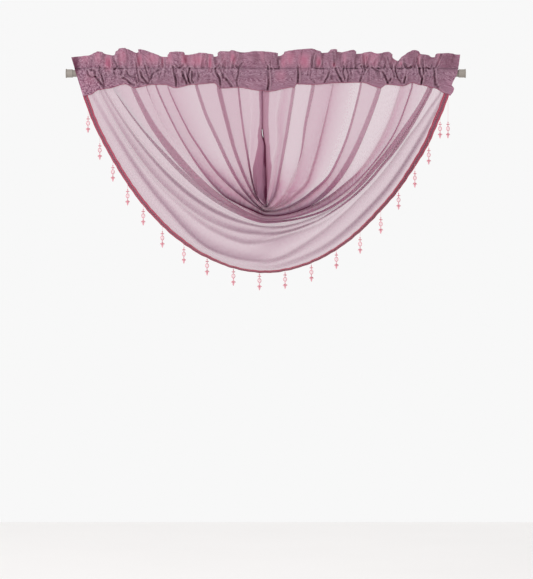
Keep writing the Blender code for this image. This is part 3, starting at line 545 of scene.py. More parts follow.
def base_depth(t, place):
    """How far the swag's face stands in front of the rod's axis, for each row."""
    forwards = [SLIT_FORWARD, *(line.forward for line in LINES), HEM.forward]
    forward = np.interp(place, range(len(forwards)), forwards)
    return -forward * (1 - t**2)


def point_column(line, depth, cover):
    """A column of control points: place and depth in space, and how much the threads cover."""
    x, z = line.T.copy()
    z[[0, -1]] = seam_height(x[[0, -1]]) + TUCKED_UP
    return np.stack([x, depth, z, np.broadcast_to(cover, x.shape)], axis=1)


def voile_cover(t, place, net):
    """How much the voile covers where it isn't folded: more on the left, and where it is drawn together."""
    rows = np.arange(net.shape[1])
    index = np.clip(place.astype(int), 0, len(net) - 2)
    pitch = np.linalg.norm(net[index + 1, rows] - net[index, rows], axis=1)
    crowd = smooth((CROWDED_FROM - pitch) / CROWDED_RUN)
    for value, (end, run) in ((np.abs(t), CROWDED_SIDE), (place, CROWDED_LOW)):
        crowd = crowd * smooth((end - value) / run + 1)
    wedge = eased(t, WEDGE) * smooth((WEDGE_TO - place) / WEDGE_RUN)
    drawn = eased(t, DRAWN) * np.interp(place, *np.array(DRAWN_PLACES, float).T)
    low = eased(t, DRAWN_LOW) * smooth((place - DRAWN_LOW_FROM) / DRAWN_LOW_RUN)
    low = low * smooth((DRAWN_LOW_TO - place) / DRAWN_LOW_RUN)
    return mix(COVER_LEFT, COVER_RIGHT, (t + 1) / 2) + CROWDED * crowd + drawn + low + wedge


def slit_columns(t, net, first_front):
    """Columns at the slit: the raw edge of its turned hem behind, the middle of the hem, and its fold."""
    s = np.abs(t)
    line = net[0]
    reach = np.zeros(len(t))
    for half in (t < 0, t > 0):
        order = np.argsort(first_front[half, 2])
        x, z = first_front[half, 0][order], first_front[half, 2][order]
        reach[half] = np.abs(np.interp(line[half, 1], z, x) - line[half, 0])
    left, right = (np.interp(s, *np.array(rows, float).T) for rows in (SLIT_HEMS_LEFT, SLIT_HEMS_RIGHT))
    width = np.minimum(np.where(t < 0, left, right), reach * SLIT_HEM_MOST)
    across = np.stack([np.sign(t) * width, np.zeros(len(t))], axis=1)
    caught = mix(1.0, SLIT_CAUGHT, smooth((s - 1) / SLIT_CAUGHT_RUN + 1))
    face = first_front[:, 1] + SLIT_FRONT * np.sign(t) * smooth(s / SLIT_OPENS) * caught
    cover = voile_cover(t, np.zeros(len(t)), net) + SLIT_HEM_COVER
    edge_dark = eased(s, SLIT_EDGE_DARK)
    columns = [point_column(line + across * share, face + TURN_WIDTH, cover) for share in SLIT_HEM_BEHIND]
    columns.append(point_column(line, face + TURN_WIDTH / 2, cover + edge_dark))
    for share, dark in zip(SLIT_HEM_BEFORE, (edge_dark, 0.0)):
        columns.append(point_column(line + across * share, face, cover + dark))
    return columns


def crease_columns(crease, t, net, place, gap):
    """Four columns round a fold's front and back turns, and how dark the crease is."""
    s = np.abs(t)
    lap = np.maximum(along_crease(crease.lap, t), 0)
    dark = along_crease(crease.dark, t)
    soft = 1 - smooth(lap / SOFT_LAP)
    begin, end = crease.ends
    left_over = mix(1.0, FADED, smooth((t - begin) / (end - begin)))
    depth = crease.depth * left_over * mix(DEPTH_AT_SEAM, 1.0, smooth((1 - s) / SEAM_RUN))
    base = base_depth(t, place)
    line = on_net(net, place)
    wave = np.minimum(SOFT_MOST, gap * SOFT_SHARE) * left_over
    shift = mix(lap / 2, -wave, soft)[:, None] * outward(line)
    cover = voile_cover(t, place, net)
    front, back = line + shift, line - shift
    turn = mix(TURN_WIDTH, depth * 2 / 3, soft)
    inner = soft[:, None] / 3
    side = on_right(t, SIDE_RUN)
    shades = [mix(lapped, mix(left, right, side), soft) for lapped, left, right in FOLD_SHADES]
    rows = [(front, base - depth), (mix(front, back, inner), base - depth + turn),
            (mix(back, front, inner), base + depth - turn), (back, base + depth)]
    return [point_column(at, y, cover + dark * shade) for (at, y), shade in zip(rows, shades)], dark


def panel_columns(t, back, front, dark_before, dark_after, cover):
    """Columns of the panel from one fold's back edge to the next one's front edge, with its shade."""
    width = np.maximum(np.linalg.norm(front[:, :3] - back[:, :3], axis=1), LEAST_WIDTH)
    near, run = np.minimum(NEAR_FOLD / width, NEAR_MOST), np.minimum(SHADE_RUN / width, RUN_MOST)
    side = on_right(t, SIDE_RUN)
    dark_before, dark_after = (np.clip(dark, 0, PANEL_MOST) + np.maximum(dark - 1, 0) * PANEL_DEEP
                               for dark in (dark_before, dark_after))
    columns = []
    for share, (before, after) in zip((near, run, 1 - run, 1 - near), PANEL_SHADES):
        column = mix(back, front, share[:, None])
        column[:, 1] -= FACE_BELLY * (1 - t**4) * (4 * share * (1 - share))
        column[:, 3] = cover + dark_before * mix(*before, side) + dark_after * mix(*after, side)
        column[[0, -1], 2] = seam_height(column[[0, -1], 0]) + TUCKED_UP
        columns.append(column)
    return columns


def hem_columns(t, line, cover):
    """Columns at the hem: the braid's inner edge and the hem's edge, which turns under towards the middle."""
    s = np.abs(t)
    turned = np.radians(eased(t, HEM_TURNS))
    run = arc(line, 0)
    waver = HEM_WAVER * sum(np.sin(run * 2 * pi / length + phase) for length, phase in HEM_WAVES)
    line = line + outward(line) * (waver * smooth((1 - s) / HEM_STEADY) + eased(t, HEM_OUT))[:, None]
    base = -HEM_FORWARD * (1 - s**2)
    inner = line - outward(line) * (BRAID_WIDTH * np.cos(turned))[:, None]
    depth = base + BRAID_WIDTH * np.sin(turned) * smooth((1 - s) / HEM_FLAT_AT_SEAM)
    middle = mix(inner, line, 0.5)
    return [point_column(inner, base, cover), point_column(middle, mix(base, depth, 0.5), cover),
            point_column(line, depth, cover)]


def swag_columns(t):
    """The swag's control columns from the slit to the hem: x, y, z and cover."""
    net = np.array([slit_line(t), *(drape_line(t, line) for line in LINES), drape_line(t, HEM)])
    places = [along_crease(crease.place, t) for crease in CREASES]
    bounds = [np.zeros(len(t)), *places, np.full(len(t), len(net) - 1.0)]
    lines = [on_net(net, place) for place in bounds]
    folds = []
    for i, crease in enumerate(CREASES):
        gap = np.minimum(*(np.linalg.norm(lines[i + 1] - lines[k], axis=1) for k in (i, i + 2)))
        folds.append(crease_columns(crease, t, net, places[i], gap))
    first_fold, _ = folds[0]
    columns = slit_columns(t, net, first_fold[0])
    hem = hem_columns(t, net[-1], voile_cover(t, bounds[-1], net) + HEM_COVER)
    none = np.zeros(len(t))
    before = eased(np.abs(t), SLIT_SHADE)
    for i, (fold, dark) in enumerate([*folds, (hem, none)]):
        middle = (bounds[i] + bounds[i + 1]) / 2
        panel = mix(*PANELS[i], on_right(t, PANEL_SIDE_RUN))
        panel = panel * smooth((np.abs(t) + PANEL_EASE[0]) / PANEL_EASE[1])
        cover = voile_cover(t, middle, net) + panel
        columns += panel_columns(t, columns[-1], fold[0], before, dark, cover) + fold
        before = dark
    return np.array(columns), hem


def make_swag(finish):
    """The swag's sheet, with its cover and its shades as marks."""
    t = np.linspace(-1, 1, SWAG_ROWS)
    columns, _ = swag_columns(t)
    grid = spline(columns, 2)
    points, cover = grid[..., :3], np.clip(grid[..., 3], 0.0, MOST_COVER)
    # what lies past MOST_COVER is painted shadow: a deep plum tint on the cloth
    painted_shading = np.clip((grid[..., 3] - MOST_COVER) / SHADOW_RUN, 0.0, 1.0)
    flat = np.stack([arc(points, 0), arc(points, 1)], axis=-1)
    flat[..., 1] -= flat[:, [SWAG_ROWS // 2], 1]
    column = np.arange(len(grid))[:, None]
    # painted grey shade: the cloth's colour turns greyer on the soft creases under the gather and on the
    # lapped fold beside the broad one
    low = smooth((column - DULL_FROM) / DULL_RUN)
    painted_grey_shade = np.clip((grid[..., 3] - mix(COVER_LEFT, COVER_RIGHT, (t + 1) / 2)) / DULL_COVER, 0.0, 1.0) * low
    grey = smooth((column - GREY_FOLD[0]) / GREY_RUN) * smooth((GREY_FOLD[1] - column) / GREY_RUN)
    painted_grey_shade = np.maximum(painted_grey_shade, GREY_MOST * grey * smooth((GREY_TO - t) / SIDE_RUN))
    return sheet_piece("swag_cloth", points, finish, flat, {"cover": cover, "painted_shading": painted_shading, "painted_grey_shade": painted_grey_shade})


# The heading

def painted_backlight_field(x, z):
    """Painted light where it comes through the ruffle's layers, 0 to 1, and painted shade below 0 where they
    are thicker.
    """
    painted_backlight = np.zeros(x.shape)
    for place, height, wide, tall, strength in THIN:
        painted_backlight += strength * np.exp(-np.abs((x - place) / wide) ** 3 - np.abs((z - height) / tall) ** 3)
    return np.clip(painted_backlight, -1.0, 1.0)


def groove_field(x, z, grooves):
    """How far the creases press the heading in, front view, and their painted shade, with below 0 a painted
    highlight on their rims.
    """
    pressed = np.zeros(x.shape)
    painted_shading = np.zeros(x.shape)
    for (depth, width), points in grooves:
        points = np.array(points, float)
        (left, foot), (right, head) = points.min(axis=0), points.max(axis=0)
        reach = GROOVE_REACH * width
        near = (x > left - reach) & (x < right + reach) & (z > foot - reach) & (z < head + reach)
        if not near.any():
            continue
        px, pz = x[near], z[near]
        best = np.full(px.shape, np.inf)
        side = np.zeros(px.shape)
        for (x0, z0), (x1, z1) in zip(points, points[1:]):
            dx, dz = x1 - x0, z1 - z0
            share = np.clip(((px - x0) * dx + (pz - z0) * dz) / (dx * dx + dz * dz), 0, 1)
            ex, ez = px - x0 - share * dx, pz - z0 - share * dz
            distance = np.hypot(ex, ez)
            closer = distance < best
            best = np.where(closer, distance, best)
            side = np.where(closer, np.sign(dx * ez - dz * ex), side)
        r = best / width
        rim = np.exp(-((r - RIM_PLACE) ** 2)) * (GROOVE_RIM + GROOVE_SIDE * (side > 0))
        pressed[near] += depth * (np.exp(-(r**2)) - rim)
        lower = smooth((head - pz) / max(head - foot, GROOVE_LONG))
        shadow = np.exp(-((r / mix(SHADOW_TOP, SHADOW_FOOT, lower)) ** 2))
        (ax, az), (bx, bz) = BROKEN_RUNS
        uneven = np.sin(px * ax + pz * az + depth) * np.sin(px * bx + pz * bz)
        dark = np.minimum(1.0, SHADOW_LEAST + depth / DEEP[0] * mix(SHADOW_MORE_TOP, SHADOW_MORE_FOOT, lower))
        dark = dark * (1 - SHADOW_BROKEN + SHADOW_BROKEN * uneven)
        room = 1.0 - SHADOW_CROSSED * np.clip(np.abs(painted_shading[near]), 0.0, 1.0)
        painted_shading[near] += (shadow - rim) * dark * room
    return pressed, np.clip(painted_shading, -1.0, 1.0)


def puckers():
    """Short creases and soft rolls that the gathering draws in along the pocket and the ruffle."""
    chance = np.random.default_rng(SEED)
    made = []
    for count, depth, width, longest in PUCKERS:
        for x in np.linspace(HEADING_LEFT_X + PUCKERS_FROM_END, HEADING_RIGHT_X - PUCKERS_FROM_END, count):
            x = x + chance.uniform(-PUCKER_SHIFT, PUCKER_SHIFT)
            way = 1 if chance.random() < PUCKERS_IN_RUFFLE else -1
            start = STITCH_Z + PUCKER_START * way
            length = chance.uniform(PUCKER_SHORTEST, longest) * way
            lean = chance.uniform(-PUCKER_LEAN, PUCKER_LEAN)
            strength = chance.uniform(PUCKER_WEAKEST, 1.0)
            if any(a < x < b for a, b in SMOOTH_RUNS):
                continue
            line = [(x, start), (x + lean * PUCKER_BEND, start + length / 2), (x + lean, start + length)]
            made.append(((depth * strength, width), line))
    return made


def heading_section(x, foot_z, top_z, lean):
    """Control points (y, z) across the rod, from the front foot over the ruffle to the back foot."""
    def side(sign, foot):
        (first_out, first_z), *above = POCKET_SECTION
        rows = [(sign * foot, foot_z), (sign * first_out, np.maximum(first_z, foot_z + FOOT_RISE))]
        rows += [(sign * out, z) for out, z in above]
        rows += [(lean * share**RUFFLE_CURL + sign * RUFFLE_GAP, mix(STITCH_Z, top_z, share))
                 for share in RUFFLE_SHARES]
        return rows

    rows = [*side(-1, FOOT_FRONT), (lean, top_z), *reversed(side(1, FOOT_BACK))]
    return np.array([[np.broadcast_to(value, x.shape) for value in row] for row in rows])


def make_heading(finish):
    """The heading's sheet, and its points from the front foot to the back one for what is sewn to it."""
    x = np.linspace(HEADING_LEFT_X, HEADING_RIGHT_X, HEADING_COLUMNS)
    foot_z = seam_height(x)
    fanned = x * (1 + FAN_OUT)
    easing = np.hanning(CREST_EASE + 2)[1:-1]
    top_z = np.interp(fanned, *np.array(CREST, float).T)
    top_z = np.convolve(np.pad(top_z, CREST_EASE // 2, "edge"), easing / easing.sum(), "valid")
    lean = eased(fanned, LEANS)
    for depth, pitch, phase in FLUTES:
        lean = lean + depth * np.sin(fanned * 2 * pi / pitch + phase)
    section = spline(heading_section(x, foot_z, top_z, lean), SECTION_STEPS)
    y, z = section[:, 0], section[:, 1]
    front = (np.arange(len(section)) <= len(section) // 2)[:, None]

    risen = smooth((z - STITCH_Z) / (top_z - STITCH_Z))
    overhang = -RUFFLE_OVERHANG * lean * np.gradient(lean, x) * risen
    spread = x * (1 + FAN_OUT * (z - foot_z) / FAN_HEIGHT) + np.clip(overhang, -OVERHANG_MOST, OVERHANG_MOST)
    pressed, painted_shading = groove_field(spread, z, GROOVES + puckers())
    calm = smooth((top_z - z) / CALM_CREST) * smooth((z - foot_z) / CALM_FOOT)
    y = y + pressed * np.where(front, 1.0, -BACK_SHARE) * calm
    clear = ROD_RADIUS + POCKET_CLEAR
    rod = np.sqrt(np.maximum(clear**2 - z**2, 0))
    y = np.where(np.abs(z) >= clear, y, np.where(front, np.minimum(y, -rod), np.maximum(y, rod)))
    at_end = smooth((x - RIGHT_END_FROM) / RIGHT_END_RUN)
    spread = spread + np.interp(z, *np.array(RIGHT_END, float).T) * at_end
    points = np.stack([spread, y, z], axis=-1)

    dashes = sum(smooth((spread - start) / DASH_EASE) * smooth((end - spread) / DASH_EASE)
                 for start, end in GATHER_DASHES)
    stitched = np.exp(-(((z - STITCH_Z + GATHER_SHADE_BELOW) / GATHER_SHADE_WIDE) ** 2))
    stitched = stitched * (GATHER_SHADE + DASH_SHADE * dashes)
    painted_shading = np.where(front, painted_shading * mix(CALM_SHADOW, 1.0, calm) + stitched, BACK_SHADOW * painted_shading)
    # painted shade in the grooves and along the stitches, and a painted highlight on the grooves' rims
    marks = {
        "cover": mix(POCKET_COVER, RUFFLE_COVER, smooth((z - STITCH_Z) / COVER_RUN)),
        "painted_shading": np.clip(painted_shading, 0, 1),
        "crest": np.clip(-painted_shading, 0, 1) * CREST_LIGHT,
        "painted_backlight": painted_backlight_field(spread, z),
    }
    flat = np.stack([arc(points, 1), arc(points, 0)], axis=-1)
    # the rows run the other way in the mesh, so that its faces point outwards
    marks = {mark: values[::-1] for mark, values in marks.items()}
    return sheet_piece("heading_cloth", points[::-1], finish, flat[::-1], marks), points


# What repeats or follows a path

def new_tree(name, inputs):
    """A geometry tree with named inputs, its input and output nodes, and the inputs' identifiers."""
    tree = bpy.data.node_groups.new(name, "GeometryNodeTree")
    tree.interface.new_socket("Geometry", in_out="INPUT", socket_type="NodeSocketGeometry")
    names = {key: tree.interface.new_socket(key, in_out="INPUT", socket_type=kind).identifier
             for key, kind in inputs.items()}
    tree.interface.new_socket("Geometry", in_out="OUTPUT", socket_type="NodeSocketGeometry")
    return tree, add(tree, "NodeGroupInput"), add(tree, "NodeGroupOutput"), names


def end_tree(tree, given, output, geometry):
    """Ends a tree with its geometry made real, smooth and finished."""
    real = add(tree, "GeometryNodeRealizeInstances", {0: geometry}).outputs[0]
    smooth_faces = add(tree, "GeometryNodeSetShadeSmooth", {0: real}).outputs[0]
    made = add(tree, "GeometryNodeSetMaterial", {0: smooth_faces, "Material": given.outputs["Finish"]})
    tree.links.new(made.outputs[0], output.inputs[0])


def cord_tree():
    """A round cord along a path, with its length along stored for its twist."""
    tree, given, output, names = new_tree("cord_along_path", {
        "Radius": "NodeSocketFloat", "Sides": "NodeSocketInt", "Finish": "NodeSocketMaterial"})
    path = add(tree, "GeometryNodeMeshToCurve", {0: given.outputs["Geometry"]}).outputs[0]
    length = add(tree, "GeometryNodeSplineParameter").outputs["Length"]
    marked = add(tree, "GeometryNodeStoreNamedAttribute",
                 {0: path, "Name": "run", "Value": length}, data_type="FLOAT", domain="POINT").outputs[0]
    ring = add(tree, "GeometryNodeCurvePrimitiveCircle",
               {"Resolution": given.outputs["Sides"], "Radius": given.outputs["Radius"]}).outputs[0]
    tube = add(tree, "GeometryNodeCurveToMesh",
               {"Curve": marked, "Profile Curve": ring, "Fill Caps": True}).outputs[0]
    end_tree(tree, given, output, tube)
    return tree, names


def turned_copies(tree, points, shape, slant=None):
    """Instances of a shape on points, its X along their run and its Z away from the cloth's face."""
    run, face = (
        add(tree, "GeometryNodeInputNamedAttribute", {"Name": name}, data_type="FLOAT_VECTOR").outputs[0]
        for name in ("along", "face"))
    turn = add(tree, "FunctionNodeAxesToRotation", {"Primary Axis": face, "Secondary Axis": run},
               primary_axis="Z", secondary_axis="X").outputs[0]
    placed = add(tree, "GeometryNodeInstanceOnPoints",
                 {"Points": points, "Instance": shape, "Rotation": turn}).outputs[0]
    if slant is None:
        return placed
    index = add(tree, "GeometryNodeInputIndex").outputs[0]
    odd = add(tree, "ShaderNodeMath", {0: index, 1: 2.0}, operation="MODULO").outputs[0]
    sign = add(tree, "ShaderNodeMath", {0: odd, 1: 2.0, 2: -1.0}, operation="MULTIPLY_ADD").outputs[0]
    angle = add(tree, "ShaderNodeMath", {0: sign, 1: slant}, operation="MULTIPLY").outputs[0]
    spin = add(tree, "ShaderNodeCombineXYZ", {"Z": angle}).outputs[0]
    return add(tree, "GeometryNodeRotateInstances", {0: placed, "Rotation": spin}).outputs[0]


def stitch_tree():
    """Stitches at an even pitch along a path, turned by the slant to one side and the other in turn."""
    tree, given, output, names = new_tree("stitches_along_path", {
        "Pitch": "NodeSocketFloat", "Stitch Length": "NodeSocketFloat", "Thread Radius": "NodeSocketFloat",
        "Slant": "NodeSocketFloat", "Finish": "NodeSocketMaterial"})
    path = add(tree, "GeometryNodeMeshToCurve", {0: given.outputs["Geometry"]}).outputs[0]
    points = add(tree, "GeometryNodeResampleCurve", {0: path, "Length": given.outputs["Pitch"]},
                 mode="LENGTH").outputs[0]
    half = add(tree, "ShaderNodeMath", {0: given.outputs["Stitch Length"], 1: 0.5},
               operation="MULTIPLY").outputs[0]
    back = add(tree, "ShaderNodeMath", {0: half, 1: -1.0}, operation="MULTIPLY").outputs[0]
    ends = [add(tree, "ShaderNodeCombineXYZ", {"X": x}).outputs[0] for x in (back, half)]
    bow = add(tree, "ShaderNodeCombineXYZ", {"Z": given.outputs["Thread Radius"]}).outputs[0]
    thread = add(tree, "GeometryNodeCurveQuadraticBezier",
                 {"Resolution": STITCH_BENDS, "Start": ends[0], "Middle": bow, "End": ends[1]}).outputs[0]
    ring = add(tree, "GeometryNodeCurvePrimitiveCircle",
               {"Resolution": STITCH_SIDES, "Radius": given.outputs["Thread Radius"]}).outputs[0]
    stitch = add(tree, "GeometryNodeCurveToMesh", {"Curve": thread, "Profile Curve": ring, "Fill Caps": True})
    copies = turned_copies(tree, points, stitch.outputs[0], given.outputs["Slant"])
    end_tree(tree, given, output, copies)
    return tree, names


def hung_tree():
    """A copy of one shape at each point, turned as the point says."""
    tree, given, output, names = new_tree("hung_copies", {
        "Shape": "NodeSocketObject", "Finish": "NodeSocketMaterial"})
    shape = add(tree, "GeometryNodeObjectInfo", {"Object": given.outputs["Shape"]}).outputs["Geometry"]
    end_tree(tree, given, output, turned_copies(tree, given.outputs["Geometry"], shape))
    return tree, names


def grown(name, tree_and_names, points, runs, values, along=None, face=None):
    """A plain mesh piece grown by a geometry tree from points in metres, joined in runs of so many points."""
    tree, names = tree_and_names
    mesh = bpy.data.meshes.new(name)
    edges, first = [], 0
    for count in runs:
        edges += [(k, k + 1) for k in range(first, first + count - 1)]
        first += count
    mesh.from_pydata(np.array(points).tolist(), edges, [])
    for mark, vectors in (("along", along), ("face", face)):
        if vectors is not None:
            data = mesh.attributes.new(mark, "FLOAT_VECTOR", "POINT").data
            data.foreach_set("vector", np.array(vectors, float).ravel())
    host = link(name + "_host", mesh)
    grower = host.modifiers.new("grow", "NODES")
    grower.node_group = tree
    for key, value in values.items():
        grower[names[key]] = value
    seen = host.evaluated_get(bpy.context.evaluated_depsgraph_get())
    piece = link(name, bpy.data.meshes.new_from_object(seen))
    piece.data.name = name
    bpy.data.objects.remove(host)
    return piece


# The braid along the hem, and what is sewn to the heading

def hem_run(t):
    """The braid's inner and outer edges along the hem, and unit vectors away from the hem's face."""
    columns, hem = swag_columns(t)
    inner, edge = hem[0][:, :3], hem[2][:, :3]
    along = np.gradient(edge, axis=0)
    face = np.cross(edge - inner, along)
    face /= np.linalg.norm(face, axis=1)[:, None]
    return inner, edge, face, along / np.linalg.norm(along, axis=1)[:, None]


def make_braid(tape, edging, over, trees):
    """The tape, a twisted cord sewn along each of its edges, and the yarn that zigzags over its middle."""
    t = np.linspace(-1, 1, BRAID_ROWS)
    inner, edge, face, along = hem_run(t)
    rows = []
    for share, height in BRAID_SECTION:
        rows.append(mix(inner, edge, share) + face * (BRAID_GAP + height * BRAID_THICKNESS))
    points = np.array(rows)
    flat = np.stack([arc(points, 1), arc(points, 0)], axis=-1)
    across = np.array([share for share, _ in BRAID_SECTION]) * BRAID_WIDTH
    flat[..., 1] = across[:, None]
    braid = sheet_piece("braid_tape", points, tape, flat, {}, closed=True)
    cords = [mix(inner, edge, share) + face * (BRAID_GAP + BRAID_THICKNESS * EDGING_OUT)
             for share in EDGING_PLACES]
    cord = grown("braid_edging", trees["cord"], to_frame(np.concatenate(cords)), [len(t)] * 2,
                 {"Radius": EDGING_RADIUS * MM, "Sides": CORD_SIDES, "Finish": edging})
    middle = mix(inner, edge, 0.5) + face * (BRAID_GAP + BRAID_THICKNESS)
    zigzag = grown("braid_zigzag", trees["stitch"], to_frame(middle), [len(t)],
                   {"Pitch": ZIGZAG_PITCH * MM, "Stitch Length": ZIGZAG_LENGTH * MM,
                    "Thread Radius": ZIGZAG_RADIUS * MM, "Slant": ZIGZAG_SLANT, "Finish": over},
                   along=along, face=face)
    return braid, cord, zigzag


def make_heading_trim(points, overlock, thread, trees):
    """The row of stitches that gathers the ruffle over the rod, and the overlocked lower edge."""
    front = points[:len(points) // 2 + 1]
    row = np.argmin(np.abs(front[..., 2] - STITCH_Z), axis=0)
    places = np.arange(points.shape[1])
    line = front[row, places] + (0, -STITCH_RADIUS, 0)
    along = np.gradient(line, axis=0)
    along /= np.linalg.norm(along, axis=1)[:, None]
    face = np.tile((0.0, -1.0, 0.0), (len(line), 1))
    stitches = grown("gathering_stitches", trees["stitch"], to_frame(line), [len(line)],
                     {"Pitch": STITCH_PITCH * MM, "Stitch Length": STITCH_LENGTH * MM,
                      "Thread Radius": STITCH_RADIUS * MM, "Slant": 0.0, "Finish": thread},
                     along=along, face=face)
    foot = points[0] + OVERLOCK_SHIFT
    cord = grown("overlock_edge", trees["cord"], to_frame(foot), [len(foot)],
                 {"Radius": OVERLOCK_RADIUS * MM, "Sides": CORD_SIDES, "Finish": overlock})
    return stitches, cord


# The bead drops

def ring_faces(bm, rings, closed=False):
    """Faces between rings of points, and a cap on each open end."""
    made = [[bm.verts.new(point) for point in ring] for ring in rings]
    count = len(made[0])
    pairs = list(zip(made, made[1:] + made[:1])) if closed else list(zip(made, made[1:]))
    for here, there in pairs:
        for i in range(count):
            k = (i + 1) % count
            bm.faces.new((here[i], here[k], there[k], there[i]))
    if not closed:
        bm.faces.new(made[0])
        bm.faces.new(made[-1])


def turned(bm, rows, sides, axis=DOWN, start=(0, 0, 0)):
    """A turned shape along an axis from its start, through (distance, radius) rows."""
    axis = np.array(axis, float) / np.linalg.norm(axis)
    side = np.cross(axis, (0.0, 1.0, 0.0) if abs(axis[1]) < NEAR_Y else (1.0, 0.0, 0.0))
    side /= np.linalg.norm(side)
    other = np.cross(axis, side)
    angles = [2 * pi * k / sides for k in range(sides)]
    ring_faces(bm, [
        [np.array(start) + axis * place + radius * (side * cos(a) + other * sin(a)) for a in angles]
        for place, radius in rows])


def bead_rows(middle, half_length, radius, steps):
    """Rows of a rounded bead for turning, hung below its thread's top."""
    turns = [pi * k / steps for k in range(steps + 1)]
    return [(middle - half_length * cos(a), max(HOLE_RADIUS, radius * sin(a))) for a in turns]


def drop_shape(name, build):
    """The beads of one drop, built in millimetres, as one mesh."""
    bm = bmesh.new()
    build(bm)
    bmesh.ops.recalc_face_normals(bm, faces=bm.faces)
    bmesh.ops.scale(bm, vec=(MM, MM, MM), verts=bm.verts)
    mesh = bpy.data.meshes.new(name)
    bm.to_mesh(mesh)
    bm.free()
    return link(name, mesh)


def spread_arms(bm, count, rows, below, rise):
    """Arms all round a point below the thread's top, which rise or droop on their way out."""
    for k in range(count):
        a = 2 * pi * k / count
        turned(bm, rows, ARM_SIDES, (cos(a), sin(a), rise), (0, 0, -below))


def oval_ring(bm):
    """The ring that hangs round the clear bead."""
    ring = []
    for k in range(RING_STEPS):
        a = 2 * pi * k / RING_STEPS
        middle = np.array((RING_WIDE * sin(a), 0, -RING_BELOW + RING_TALL * cos(a)))
        out = np.array((sin(a) / RING_WIDE, 0, cos(a) / RING_TALL))
        out /= np.linalg.norm(out)
        ring.append([middle + RING_THICK * (out * cos(b) + np.array((0, RING_DEEP, 0)) * sin(b))
                     for b in (2 * pi * j / RING_SIDES for j in range(RING_SIDES))])
    ring_faces(bm, ring, closed=True)


def rose_beads(bm):
    """The coloured beads of a drop, hung from (0, 0, 0): seed beads, spacer, ring, flower and tip."""
    for middle, half_length, radius in SEED_BEADS:
        turned(bm, bead_rows(middle, half_length, radius, SEED_STEPS), SEED_SIDES)
    spread_arms(bm, SPACER_ARMS, SPACER_ARM, SPACER_BELOW, 0.0)
    oval_ring(bm)
    spread_arms(bm, PETALS, PETAL, FLOWER_BELOW, PETAL_DROOP)
    turned(bm, TIP, SEED_SIDES)


def clear_beads(bm):
    """The clear oval bead inside the ring."""
    turned(bm, bead_rows(RING_BELOW, RING_TALL - CORE_GAP, RING_WIDE - CORE_GAP, CORE_STEPS), CORE_SIDES)


def make_drops(rose, clear, yarn, trees):
    """All bead drops, each hung where its solid is, its thread caught in the braid's edge."""
    _, edge, _, _ = hem_run(np.linspace(-1, 1, BRAID_ROWS))
    edge = to_frame(edge)
    chance = np.random.default_rng(SEED)
    boxes = [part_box(f"drop_{number:02d}") for number in range(1, DROP_COUNT + 1)]
    places = np.array([((low[0] + high[0]) / 2, (low[1] + high[1]) / 2, low[2] + DROP_LENGTH * MM)
                       for low, high in boxes])
    turns = chance.uniform(-DROP_TURN, DROP_TURN, DROP_COUNT)
    along = np.stack([np.cos(turns), np.sin(turns), 0 * turns], axis=1)
    face = np.tile((0.0, 0.0, 1.0), (DROP_COUNT, 1))
    pieces = []
    for name, build, finish in (("bead_drops", rose_beads, rose), ("clear_beads", clear_beads, clear)):
        shape = drop_shape(name + "_shape", build)
        pieces.append(grown(name, trees["hung"], places, [1] * DROP_COUNT, {"Shape": shape, "Finish": finish},
                            along=along, face=face))
        bpy.data.objects.remove(shape)
    tops = np.maximum([high[2] for _, high in boxes], np.interp(places[:, 0], edge[:, 0], edge[:, 2]))
    tops = tops + THREAD_CAUGHT * MM
    ends = np.array([[(x, y, top), (x, y, z - FLOWER_BELOW * MM)] for (x, y, z), top in zip(places, tops)])
    threads = grown("drop_threads", trees["cord"], ends.reshape(-1, 3), [2] * DROP_COUNT,
                    {"Radius": THREAD_RADIUS * MM, "Sides": THREAD_SIDES, "Finish": yarn})
    return [*pieces, threads]


# Finishes

# A mark on the cloth tints it from where the mark starts to where it is full, with at most this share
Tint = namedtuple("Tint", "mark start full most colour")
# The colours of the threads and of the finer ones between them, the colour that glows through and its share,
# the spacing of the threads and the length of their slubs in millimetres, how uneven the weave is, and its
# tints, which paint shade and light on it by its marks. Real voile has two or three threads to the
# millimetre:
# here they are coarser, so that they show.
Voile = namedtuple("Voile", "lit shot glow glow_share pitch slub swing face_tints glow_tints")
SWAG_VOILE = Voile(
    lit="#8C6A81", shot="#9A7B90", glow="#DA98AE", glow_share=0.5, pitch=2.4, slub=5.0, swing=0.08,
    # painted shade: grey on the soft creases under the gather, deep plum past MOST_COVER
    face_tints=[Tint("painted_grey_shade", 0, 1, 1, "#8C7482"), Tint("painted_shading", 0, 1, 1, "#5A203C")],
    glow_tints=[Tint("painted_grey_shade", 0, 1, 1, "#C09CAC"), Tint("painted_shading", 0, 1, 1, "#5A203C")],
)
HEADING_VOILE = Voile(
    lit="#664459", shot="#C29DAF", glow="#C05A86", glow_share=0.3, pitch=2.8, slub=5.0, swing=0.05,
    # painted light through both layers where they part, then through one, painted shade where a hem thickens
    # them, a painted highlight on a groove's rim, and painted shade at its bottom
    face_tints=[
        Tint("painted_backlight", 0, 1, 0.85, "#CE8BA2"), Tint("painted_backlight", 0.55, 1, 0.7, "#A2506E"),
        Tint("painted_backlight", 0, -1, 0.95, "#4F2B3D"), Tint("crest", 0, 1, 1, "#CDAFBD"),
        Tint("painted_shading", 0, 1, 1, "#3A1526"),
    ],
    glow_tints=[Tint("painted_shading", 0, 1, 1, "#3A1526")],
)
THREADS_SEEN = (0.75, 1.25)     # of the two noises' sum, from between the threads to on them
# The tape's figure repeats a little coarser than a woven one, so that it shows: millimetres, then how much of
# its waves counts as figure. The red edges start at these shares of the tape's half width.
TAPE_FIGURE = 4.4
FIGURE_SEEN = (-0.15, 0.35)
TAPE_GROUND, TAPE_DIAMONDS, TAPE_RED = "#9A5C70", "#521F33", "#AC425A"
TAPE_EDGE = (0.42, 0.56)
ACRYLIC_CLOUDS = 2.5            # millimetres
